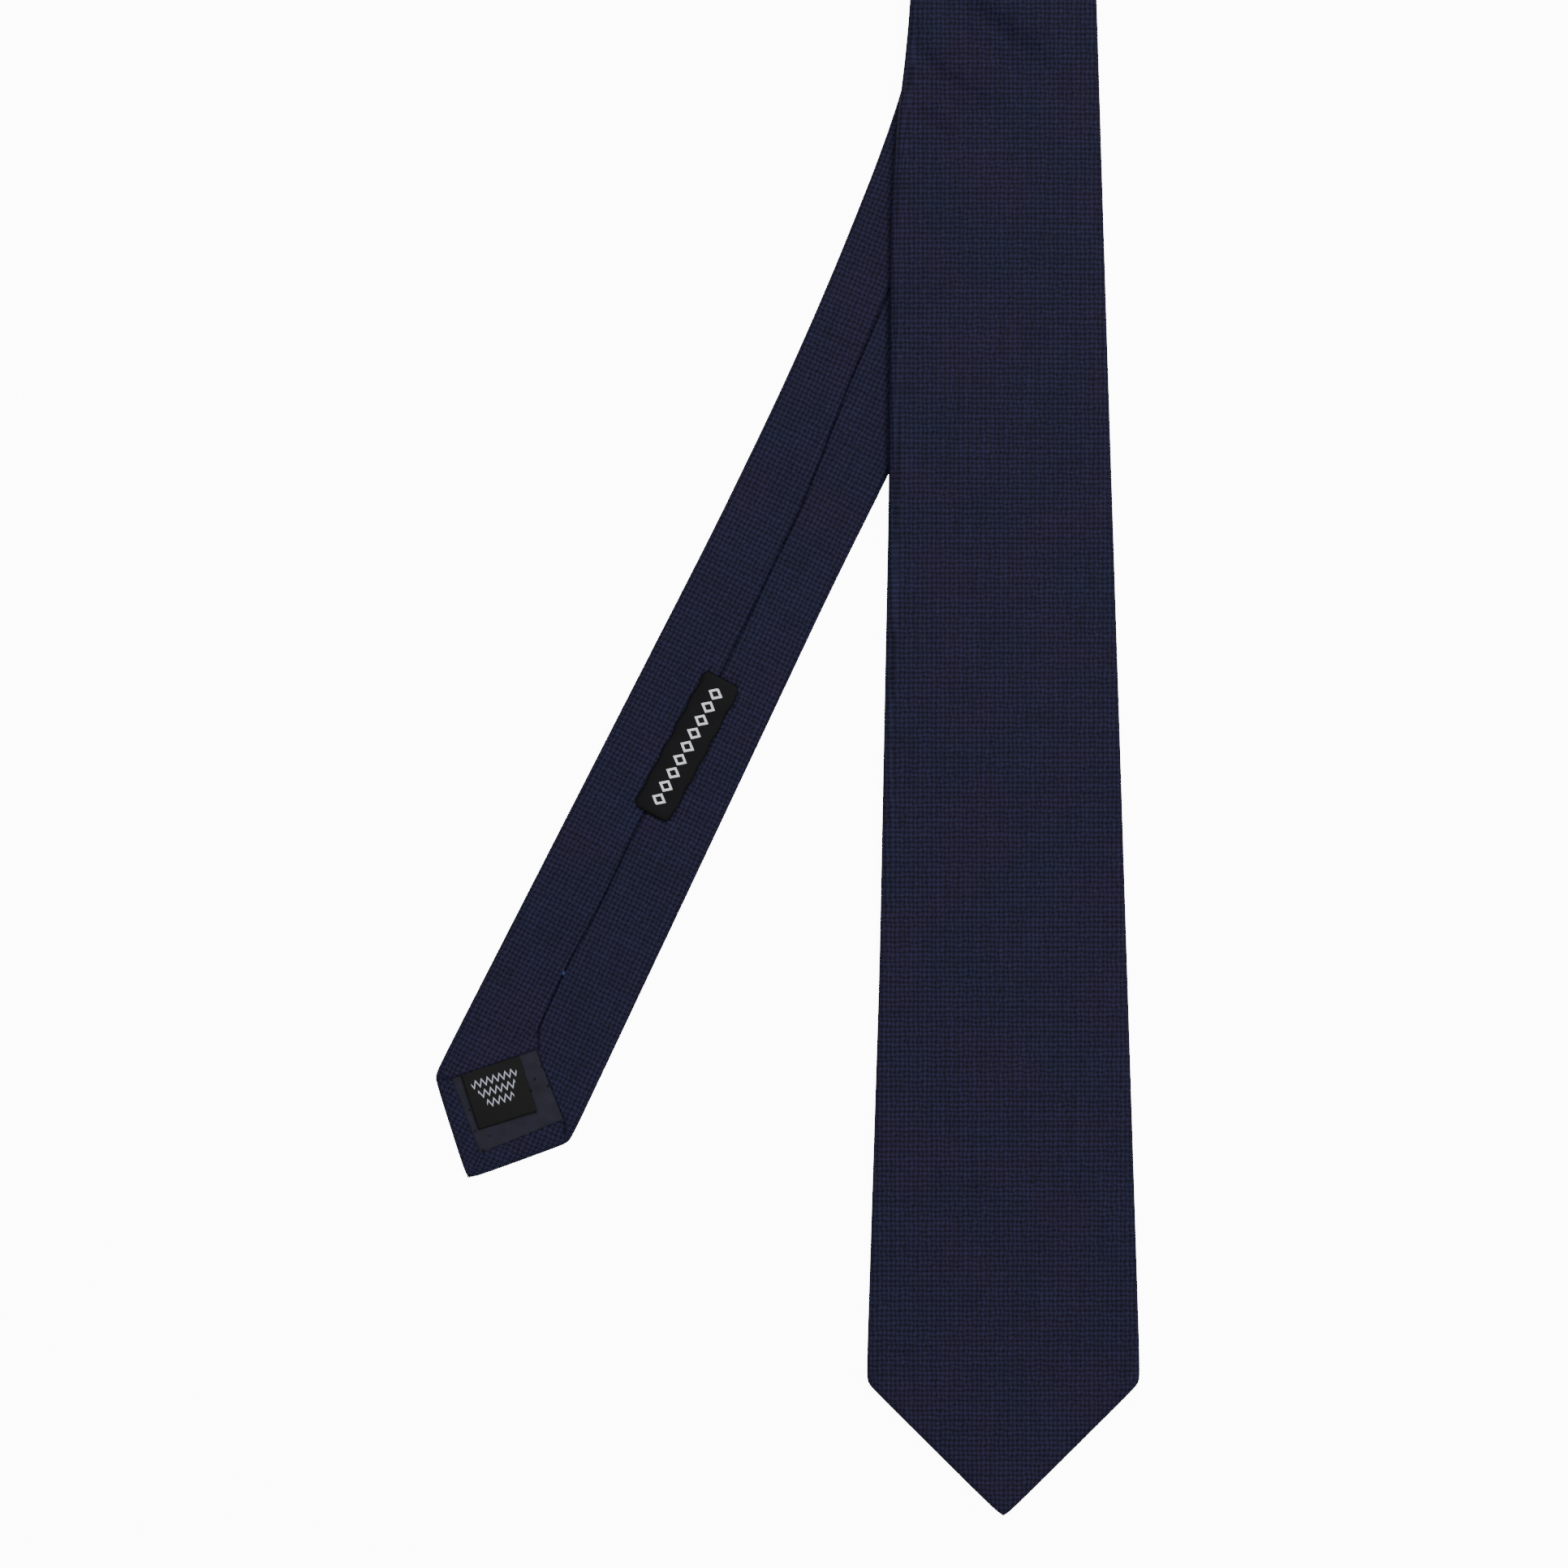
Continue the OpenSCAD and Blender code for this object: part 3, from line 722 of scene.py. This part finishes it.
def shellGrid(rows, joins):
    # the whole cross-section at every row, pinched a little at the bias seams
    points, cloth = [], []
    for kind, f in stretches:
        straight = section(np.full(f.shape, seams["bladeNeck"]), kind, f)[2][0]
        t = slanted(rows, straight)
        x, z, v, own = section(t, kind, f)
        pinch = sum((np.exp(-((rows - e) / seams["grooveHalf"]) ** 2) for e in joins), 0 * rows)
        z = z * (1 - seams["grooveShare"] * pinch[:, None])
        z = z + puckers(t, x, z) * awayFromFold(t)
        points.append(place(t, x, z))
        cloth.append(np.stack(np.broadcast_arrays(v, own), -1))
    return np.concatenate(points, 1), np.concatenate(cloth, 1)


woven = {"s": 132.8, "x": 1.7, "width": 10.9, "length": 42.2, "turn": 2.0, "cloth": 0.2,
         "under": 0.14, "puff": 0.22, "buckle": 0.08, "drawnIn": 0.16, "stitchOut": 0.1}
care = {"s": 30.4, "x": -8.5, "width": 16.8, "length": 16.3, "turn": -44.0, "cloth": 0.16,
        "lift": 1.1, "bow": 0.25, "stitchHalf": 6.4, "stitches": 8, "stitchUp": 0.9}


def labelLocal(t, x):
    # a point of the tail in the woven label's own axes
    turn = math.radians(woven["turn"])
    ds, dx = (tieLength - t) - woven["s"], x - woven["x"]
    return dx * math.cos(turn) - ds * math.sin(turn), dx * math.sin(turn) + ds * math.cos(turn)


def onLabel(label, a, b):
    # from a label's own axes, a across and b along, to s and x on the tail
    turn = math.radians(label["turn"])
    return (label["s"] - a * math.sin(turn) + b * math.cos(turn),
            label["x"] + a * math.cos(turn) + b * math.sin(turn))


def puckers(t, x, z):
    # small gathers at the label's corners and ends, and a faint unevenness all over
    a, b = labelLocal(t, x)
    outside = np.hypot(np.maximum(np.abs(a) - woven["width"] / 2, 0),
                       np.maximum(np.abs(b) - woven["length"] / 2, 0))
    pull = np.exp(-(outside / 3.2) ** 2) * (outside > 0)
    cornerNear = np.exp(-((np.abs(a) - 5.4) ** 2 + (np.abs(b) - 21) ** 2) / 22)
    wrinkle = -0.16 * pull * cornerNear * np.cos(1.7 * a + 1.1 * b)
    uneven = -0.10 * ripple(x, t, 4, 38) - 0.05 * ripple(x, t, 9, 14)
    fade = np.clip(np.abs(z) / radius, 0, 1)
    return fade * np.where(z < 0, wrinkle + uneven, -uneven)


def rowsBetween(start, end, dense=()):
    # row places about 3 mm apart, and closer inside the dense stretches
    rows = np.linspace(start, end, int((end - start) / 3.2) + 2)
    for low, high, step in dense:
        rows = np.concatenate([rows[(rows < low - 0.5) | (rows > high)], np.arange(low, high, step)])
    return np.unique(np.round(rows, 3))


def rowsRound(count):
    # rows round the fold, with two more on each side
    return np.concatenate([[foldStart, tFold - 1.8], np.linspace(tFold, tLower, count),
                           [tLower + 1.8, foldEnd]])


tip = np.array([0.0, 0.03, 0.1, 0.22, 0.4, 0.65, 1.0])
joinRows = np.array([-1.2, -0.5, 0, 0.5, 1.2])
bladeRows = np.unique(np.concatenate([
    tip, rowsBetween(1.4, foldStart, [(1.4, 78, 1.0), (376, 440, 1.2)]), seams["bladeNeck"] + joinRows]))
foldRows = rowsRound(21)
neckRows = np.unique(np.concatenate([
    rowsBetween(foldEnd, seams["neckTail"]), seams["neckTail"] + joinRows[:2]]))
tailRows = np.unique(np.round(np.concatenate([
    seams["neckTail"] + np.array([0, 0.5, 1.2]),
    rowsBetween(seams["neckTail"] + 2, tieLength - 1.4,
                [(tieLength - 158, tieLength - 108, 1.1), (tieLength - 46, tieLength - 1.4, 0.5)]),
    tieLength - tip]), 3))


def makeShell(name, rows, joins):
    points, cloth = shellGrid(rows, joins)
    piece = gridPiece(name, points, cloth, silkCloth, flip=True, thickness=tube["cloth"])
    print(name, points.shape[0], "by", points.shape[1])
    return piece


bladeShell = makeShell("bladeShell", bladeRows, [seams["bladeNeck"]])
foldShell = makeShell("foldShell", foldRows, [])
neckShell = makeShell("neckShell", neckRows, [seams["neckTail"]])
tailShell = makeShell("tailShell", tailRows, [seams["neckTail"]])


# interlining: a flat tube of wool inside the shells

interlining = {"inset": 2.0, "thickness": 1.2, "columns": 64, "middle": 0.15, "taper": 3.0}


def interliningPiece(name, rows):
    # a flattened oval, with squarer shoulders through than across
    angles, t = np.linspace(0, 2 * math.pi, interlining["columns"])[None, :], rows[:, None]
    half = np.maximum(halfWidth(t) - interlining["inset"], 0.02) * np.ones(angles.shape)
    x = half * signedPower(np.cos(angles), 0.7)
    thick = interlining["thickness"] / 2 * np.minimum(1, half / interlining["taper"])
    z = interlining["middle"] + thick * signedPower(np.sin(angles), 0.6)
    t = t * np.ones_like(x)
    return closedTube(name, place(t, x, z), np.stack([half * angles, t], -1), woolFelt)


bladeWool = interliningPiece("bladeInterlining", rowsBetween(9, foldStart, [(376, 440, 1.2)]))
# few rows round the fold, so that the wool stays under the silk when the fold is opened
foldWool = interliningPiece("foldInterlining", rowsRound(7))
neckWool = interliningPiece("neckInterlining", rowsBetween(foldEnd, tieLength - sNeck - 2))
tailWool = interliningPiece("tailInterlining", rowsBetween(tieLength - sNeck, tieLength - 7))
print("interlining made")

# each piece hides the parts it stands for; the blade and neck pieces ride their bodies, and the fold and
# tail pieces are baked where they lie
for kind, blade, fold, neck, tail in (("shell", bladeShell, foldShell, neckShell, tailShell),
                                      ("interlining", bladeWool, foldWool, neckWool, tailWool)):
    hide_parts("blade_" + kind)
    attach(blade, "blade")
    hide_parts("neck_fold_" + kind)
    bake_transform(fold)
    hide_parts("neck_" + kind)
    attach(neck, "neck")
    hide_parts("tail_" + kind, "tail_bend_" + kind)
    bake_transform(tail)


# tippings: satin linings in the windows at the points

tipping = {"depth": 0.62, "columns": 61, "tuck": 2.0, "hollow": 0.18, "uneven": 0.06, "cloth": 0.15,
           "cutShare": 0.52}                         # of the cut's square that the pointed sheet fills


def tippingPiece(name, distances, end):
    # a sheet across the window, tucked a little under the hems and flaps
    d, shape = distances[:, None], back[end]
    (overS, overX), (underS, underX), (topS, topX) = shape["overHem"], shape["underHem"], shape["top"]
    reach = np.interp(d, [shape["mitre"] - 2.4, overS, underS + 0.5, topS + 5],
                      [0.2, overX + tipping["tuck"], underX + tipping["tuck"], 0.2])
    f = np.linspace(-1, 1, tipping["columns"])[None, :]
    x = reach * f + 0.6 * np.interp(d, [0, topS], [0, topX])
    z = tipping["depth"] - radius - tipping["hollow"] * (1 - f ** 2)
    z = z - tipping["uneven"] * ripple(x, d, 21, 11)
    d = d * np.ones_like(x)
    points = place(d if end == "blade" else tieLength - d, x, z)
    return gridPiece(name, points, np.stack([x, d], -1), satinCloth, flip=(end == "blade"),
                     thickness=tipping["cloth"])


tailTipping = tippingPiece("tailTipping", np.arange(5.2, 43.6, 0.6), "tail")
bladeTipping = tippingPiece("bladeTipping", np.arange(7.6, 76.6, 0.9), "blade")
for piece, node, body, cut in ((tailTipping, "tail_tipping", "tail", (0.037, 0.038)),
                               (bladeTipping, "blade_tipping", "blade", (0.068, 0.069))):
    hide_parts(node)
    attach(piece, body)


# stitches: short threads sunk into the cloth

thread = {
    "rings": np.array([-0.5, -0.42, -0.2, 0.0, 0.2, 0.42, 0.5]),     # along its length
    "sizes": np.array([0.02, 0.6, 0.95, 1.0, 0.95, 0.6, 0.02]),      # of its thickness there
    "sink": 0.6, "sides": 6,
}


def threads(name, centres, directions, lengths, thick=0.17, material=None):
    # each thread is a six-sided spindle: rings along its direction, thin and sunk at both ends
    centres, directions = np.array(centres, float), np.asarray(directions, float)
    directions = directions / np.linalg.norm(directions, axis=1, keepdims=True)
    lengths = np.broadcast_to(lengths, len(centres))[:, None, None]
    centres[:, 2] = np.maximum(centres[:, 2], thick + hair)
    sideways = np.cross(directions, [0.0, 0.0, 1.0])
    sideways /= np.maximum(np.linalg.norm(sideways, axis=1, keepdims=True), 1e-6)
    upwards = np.cross(sideways, directions)
    rings = thread["rings"][None, :, None]
    sizes = thread["sizes"][None, :, None] * thick
    sink = -thread["sink"] * thick * (2 * np.abs(rings)) ** 3
    angles = (np.arange(thread["sides"]) * 2 * math.pi / thread["sides"])[None, None, :]
    points = (centres[:, None, None, :]
              + directions[:, None, None, :] * (rings * lengths)[..., None]
              + sideways[:, None, None, :] * (sizes * np.cos(angles))[..., None]
              + upwards[:, None, None, :] * (sizes * np.sin(angles) + sink)[..., None])
    index = np.arange(points[..., 0].size).reshape(points.shape[:3])
    around = np.roll(index, -1, axis=2)
    quads = np.stack([index[:, :-1], index[:, 1:], around[:, 1:], around[:, :-1]], -1).reshape(-1, 4)
    cloth = np.stack(np.broadcast_arrays(rings * lengths, angles * thick), -1)
    return meshPiece(name, points.reshape(-1, 3), quads, cloth.reshape(-1, 2), material or cottonThread)


def backThreads(name, t, x, angle, lengths, lift, thick=0.17, material=None):
    # threads lying on the back at (t, x), turned by an angle from the tie's own length
    t, x = np.asarray(t, float), np.asarray(x, float)
    angle = np.broadcast_to(np.radians(angle), t.shape)
    z = np.full(t.shape, -(radius + 0.5 * tube["crown"] + 0.75 * back["lapLift"] + lift))
    here = place(t, x, z)
    there = place(t + 0.5 * np.cos(angle), x + 0.5 * np.sin(angle), z)
    return threads(name, here, there - here, lengths, thick, material)


stitching = {"slipPitch": 4.5, "slipLength": 1.5, "slipAngle": 38, "hemLength": 1.5, "closeLength": 1.7,
             "mitreLength": 1.3, "mitrePitch": 1.25, "tack": 22.0, "tackThreads": 5, "tackLength": 1.9}


def seamStitches(name, start, end, skip=()):
    t = np.arange(start, end, stitching["slipPitch"])
    for low, high in skip:
        t = t[(t < low) | (t > high)]
    wander = 0.12 * np.sin(t * 1.9)
    return backThreads(name, t, seamLine(t) + 0.25 + wander, stitching["slipAngle"] + 14 * np.sin(t * 2.7),
                       stitching["slipLength"] + 0.25 * np.sin(t * 3.1), lift=-0.12)


def barTack(name, t, x):
    offsets = np.linspace(-0.4, 0.4, stitching["tackThreads"])
    return backThreads(name, t + offsets, np.full(len(offsets), x + 0.1), 90, stitching["tackLength"],
                       lift=-0.1, material=tackThread)


def hemStitches(name, end, count, close):
    # along both inner edges of the hem, then close together to the outer corners and down the mitre
    shape = back[end]
    corner, half = outerCorner(end)
    d, x, turn, length = [], [], [], []
    for side, (hemS, hemX) in ((-1, shape["overHem"]), (1, shape["underHem"])):
        edge = [(shape["mitre"], 0.0), (hemS, side * hemX)]
        outer = [(hemS, side * hemX), (corner, side * (half - 1.0))]
        for (d0, x0), (d1, x1), n, size in ((*edge, count, stitching["hemLength"]),
                                            (*outer, close, stitching["closeLength"])):
            share = (np.arange(n) + 0.5) / n
            d.append(d0 + share * (d1 - d0))
            x.append(x0 + share * (x1 - x0))
            turn.append(np.full(n, math.degrees(math.atan2(x1 - x0, d1 - d0))))
            length.append(np.full(n, size))
    mitre = np.arange(3.0, shape["mitre"], stitching["mitrePitch"])
    d, x = np.concatenate([*d, mitre]), np.concatenate([*x, 0 * mitre])
    turn = np.concatenate([*turn, 0 * mitre])
    length = np.concatenate([*length, 0 * mitre + stitching["mitreLength"]])
    t, turn = (d, turn) if end == "blade" else (tieLength - d, 180 - turn)
    return backThreads(name, t, x, turn, length, lift=-0.62, thick=0.14)


tailLap = (tieLength - woven["s"] - woven["length"] / 2 - 1,
           tieLength - woven["s"] + woven["length"] / 2 + 1)
bladeSeamS, tailSeamS = back["blade"]["top"][0], back["tail"]["top"][0]
stitchPieces = [
    (seamStitches("bladeSlipStitches", bladeSeamS + stitching["tack"] + 4, seams["bladeNeck"] - 4,
                  [(keeperS - 7, keeperS + 7)]), "blade_slip_stitches", "blade"),
    (seamStitches("neckSlipStitches", tLower + 6, seams["neckTail"] - 4), "neck_slip_stitches", "neck"),
    (seamStitches("tailSlipStitches", tieLength - sBend + 4, tieLength - tailSeamS - stitching["tack"] - 3,
                  [tailLap]), "tail_slip_stitches", "tail"),
    (barTack("bladeBarTack", bladeSeamS + stitching["tack"], 0.0), "blade_bar_tack", "blade"),
    (barTack("tailBarTack", tieLength - tailSeamS - stitching["tack"], -1.8), "tail_bar_tack", "tail"),
    (hemStitches("bladeTippingStitches", "blade", 17, 4), "blade_tipping_stitches", "blade"),
    (hemStitches("tailTippingStitches", "tail", 9, 3), "tail_tipping_stitches", "tail"),
]


joining = {"half": 13, "stitches": 22, "sunk": 0.35, "length": 1.0, "thick": 0.1}


def joinStitches(name, t0, node, body):
    # a row of small threads in the groove of a bias seam, across the front of the tube
    v = np.linspace(-joining["half"], joining["half"], joining["stitches"])
    t = t0 + seams["slant"] * v
    z = np.full(v.shape, radius + tube["crown"] - joining["sunk"])
    here = place(t, v, z)
    there = place(t + 0.3, v + 0.55, z)
    return threads(name, here, there - here, joining["length"], joining["thick"]), node, body


stitchPieces.append(joinStitches("bladeNeckJoinStitches", seams["bladeNeck"],
                                 "blade_neck_join_stitches", "blade"))
stitchPieces.append(joinStitches("neckTailJoinStitches", seams["neckTail"],
                                 "neck_tail_join_stitches", "neck"))


# woven label: a flat band over the seam, sewn round its edge

def wovenLabelPiece():
    a = np.linspace(-woven["width"] / 2, woven["width"] / 2, 25)[None, :]
    b = np.linspace(-woven["length"] / 2, woven["length"] / 2, 85)[:, None]
    edge = np.minimum(woven["width"] / 2 - np.abs(a), woven["length"] / 2 - np.abs(b))
    wavyA = a + 0.2 * np.sin(b * 0.8 + 1) * np.abs(a) / 5.4
    rounded = ease((np.abs(b) / (woven["length"] / 2) - 0.93) / 0.07)
    wavyA = wavyA * (1 - woven["drawnIn"] * rounded)
    s, x = onLabel(woven, wavyA, b)
    t = tieLength - s
    crown = 0.5 * tube["crown"] * (1 - (x / 18.5) ** 2)
    lap = back["lapLift"] * ease(1 - np.abs(x - seamLine(t)) / 7)
    buckle = woven["buckle"] * np.sin(b * 0.55 + 0.6) * np.sin(a * 0.5 + 0.8)
    puff = woven["puff"] * (1 - np.exp(-edge / 0.8)) + buckle
    z = -(radius + crown + lap * 0.9 + woven["under"] + puff)
    points = place(t * np.ones_like(z), x * np.ones_like(z), z)
    cloth = np.stack(np.broadcast_arrays(a, b), -1).astype(float)
    return gridPiece("wovenLabel", points, cloth, wovenCloth, flip=True, thickness=woven["cloth"])


def labelStitches():
    w, l = (woven[k] / 2 + woven["stitchOut"] for k in ("width", "length"))
    longSide, shortSide = np.arange(-l + 1.2, l - 1, 1.45), np.arange(-w + 1.0, w - 0.6, 1.2)
    a = np.concatenate([np.full(len(longSide), -w), np.full(len(longSide), w), shortSide, shortSide])
    b = np.concatenate([longSide, longSide, np.full(len(shortSide), -l), np.full(len(shortSide), l)])
    s, x = onLabel(woven, a, b)
    angles = np.concatenate([np.full(2 * len(longSide), 78.0), np.full(2 * len(shortSide), 12.0)])
    angles = angles + 22 * np.sin(np.arange(len(angles)) * 2.3)
    length = 1.35 + 0.35 * np.sin(np.arange(len(angles)) * 1.7)
    return backThreads("wovenLabelStitches", tieLength - s, x, angles, length, lift=-0.06)


wovenLabel = wovenLabelPiece()
stitchPieces.append((labelStitches(), "woven_label_stitches", "tail"))


# care label: hangs from its top edge, tucked under the flap, and lifts a little

def careLabelPiece():
    a = np.linspace(-0.5, 0.5, 31)[None, :]
    b = np.linspace(0, 1, 31)[:, None]
    wide, along = a * care["width"], b * care["length"]
    s, x = onLabel(care, wide, -along)
    lift = care["lift"] * b ** 1.5 * (0.55 + 0.9 * a) + care["bow"] * np.sin(math.pi * b) * (1 - 1.2 * a)
    height = 2 * radius + lift
    flat = onLeg(s, x)
    points = np.concatenate([flat, (height * np.ones_like(x))[..., None]], -1)
    cloth = np.stack(np.broadcast_arrays(wide, -along), -1).astype(float)
    return gridPiece("careLabel", points, cloth, careCloth, flip=True, thickness=care["cloth"])


careLabel = careLabelPiece()


def careStitches():
    a = np.linspace(-care["stitchHalf"], care["stitchHalf"], care["stitches"])
    s, x = onLabel(care, a, care["stitchUp"])
    return backThreads("careLabelStitches", tieLength - s, x, 270 + care["turn"], 1.1,
                       lift=-0.28, thick=0.1)


stitchPieces.append((careStitches(), "care_label_stitches", "tail"))


# keeper loop: a folded strip of the same silk across the back of the blade

keeper = {"half": 0.3, "sag": 0.32, "under": 0.36, "stitchIn": (1.6, 1.2), "stitches": 6,
          "stitchLength": 1.4, "stitchThick": 0.13}


def keeperPiece():
    # a flattened tube across the blade, whose ends rise to the cloth that they are sewn to
    halfLength, halfWide, _ = (keeperHigh - keeperLow) / 2
    f, angle = np.linspace(-1, 1, 61)[:, None], np.linspace(0, 2 * math.pi, 29)[None, :]
    hang = keeper["sag"] * ease((1 - np.abs(f)) / 0.25) - keeper["half"] * signedPower(np.sin(angle), 0.55)
    x, y = np.broadcast_arrays(bladeX + f * halfLength, halfWide * signedPower(np.cos(angle), 0.75))
    along = keeperS + tipY + y
    points = np.stack([x, along, drapeHeight(x, along) - keeper["under"] - hang], -1)
    around = np.where(np.sin(angle) >= 0, y, 2 * halfWide - y)
    return closedTube("keeperLoop", points, np.stack([around, x - bladeX], -1), silkCloth)


keeperLoop = keeperPiece()


def keeperStitches():
    inX, inY = keeper["stitchIn"]
    x = np.repeat([keeperLow[0] + inX, keeperHigh[0] - inX], keeper["stitches"])
    y = np.tile(np.linspace(keeperLow[1] + inY, keeperHigh[1] - inY, keeper["stitches"]), 2)
    here = np.stack([x, y, drapeHeight(x, y) - keeper["under"] - keeper["sag"]], -1)
    return threads("keeperLoopStitches", here, np.tile([0.35, 1.0, 0.0], (len(x), 1)),
                   keeper["stitchLength"], keeper["stitchThick"])


stitchPieces.append((keeperStitches(), "keeper_loop_stitches", "blade"))

finishes = [(wovenLabel, "woven_label", "tail", "woven_label_satin"),
            (careLabel, "care_label", "care_label", "care_label_satin"),
            (keeperLoop, "keeper_loop", "blade", "shell_silk"),
            *((*piece, "thread") for piece in stitchPieces)]
for piece, node, body, finish in finishes:
    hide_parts(node)
    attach(piece, body)
print("stitches, labels and keeper made")


# camera, floor and light

view = {"frame": 0.4313, "lens": 135.0, "sensor": 36.0, "fromTip": 201.1, "fromBlade": -60.35}
cameraData = bpy.data.cameras.new("camera")
cameraData.lens = view["lens"]
cameraData.sensor_width = view["sensor"]
camera = bpy.data.objects.new("camera", cameraData)
camera.location = ((bladeX + view["fromBlade"]) * mm, (tipY + view["fromTip"]) * mm,
                   view["frame"] * view["lens"] / view["sensor"] + 0.003)
bpy.context.scene.collection.objects.link(camera)
bpy.context.scene.camera = camera

paper = {"half": 6.0, "colour": "f6f6f6", "roughness": 0.9, "specular": 0.5, "glow": 11.0}
floorMesh = bpy.data.meshes.new("floor")
corners = [(x * paper["half"], y * paper["half"], 0) for x, y in ((-1, -1), (1, -1), (1, 1), (-1, 1))]
floorMesh.from_pydata(corners, [], [(0, 1, 2, 3)])
floor = bpy.data.objects.new("floor", floorMesh)
bpy.context.scene.collection.objects.link(floor)
floorMaterial, floorTree, floorShader = newMaterial("paperWhiteMatt", paper["roughness"], paper["specular"])
floorShader.inputs["Base Color"].default_value = fromHex(paper["colour"])
floorShader.inputs["Emission Color"].default_value = (1, 1, 1, 1)
seenDirectly = addNode(floorTree, "LightPath").node.outputs["Is Camera Ray"]
floorGlow = addNode(floorTree, "Math", (seenDirectly, paper["glow"]), operation="MULTIPLY")
floorTree.links.new(floorGlow, floorShader.inputs["Emission Strength"])
floorMesh.materials.append(floorMaterial)

lights = {                                           # place in m, size in m, power in W
    "softRight": ((0.95, 0.45, 2.1), 1.0, 40),
    "softTop": ((-0.3, 0.3, 2.4), 2.2, 32),
    "aim": (0.0, -0.15), "world": 0.55,
}


def areaLight(name):
    where, size, power = lights[name]
    data = bpy.data.lights.new(name, "AREA")
    data.shape = "DISK"
    data.size = size
    data.energy = power
    light = bpy.data.objects.new(name, data)
    light.location = where
    aimX, aimY = lights["aim"][0] - where[0], lights["aim"][1] - where[1]
    light.rotation_euler = (math.atan2(math.hypot(aimX, aimY), where[2]), 0,
                            math.atan2(aimX, -aimY) + math.pi)
    bpy.context.scene.collection.objects.link(light)


areaLight("softRight")
areaLight("softTop")
world = bpy.data.worlds.new("studio")
world.use_nodes = True
world.node_tree.nodes["Background"].inputs["Color"].default_value = (1, 1, 1, 1)
world.node_tree.nodes["Background"].inputs["Strength"].default_value = lights["world"]
bpy.context.scene.world = world
print("stage set")
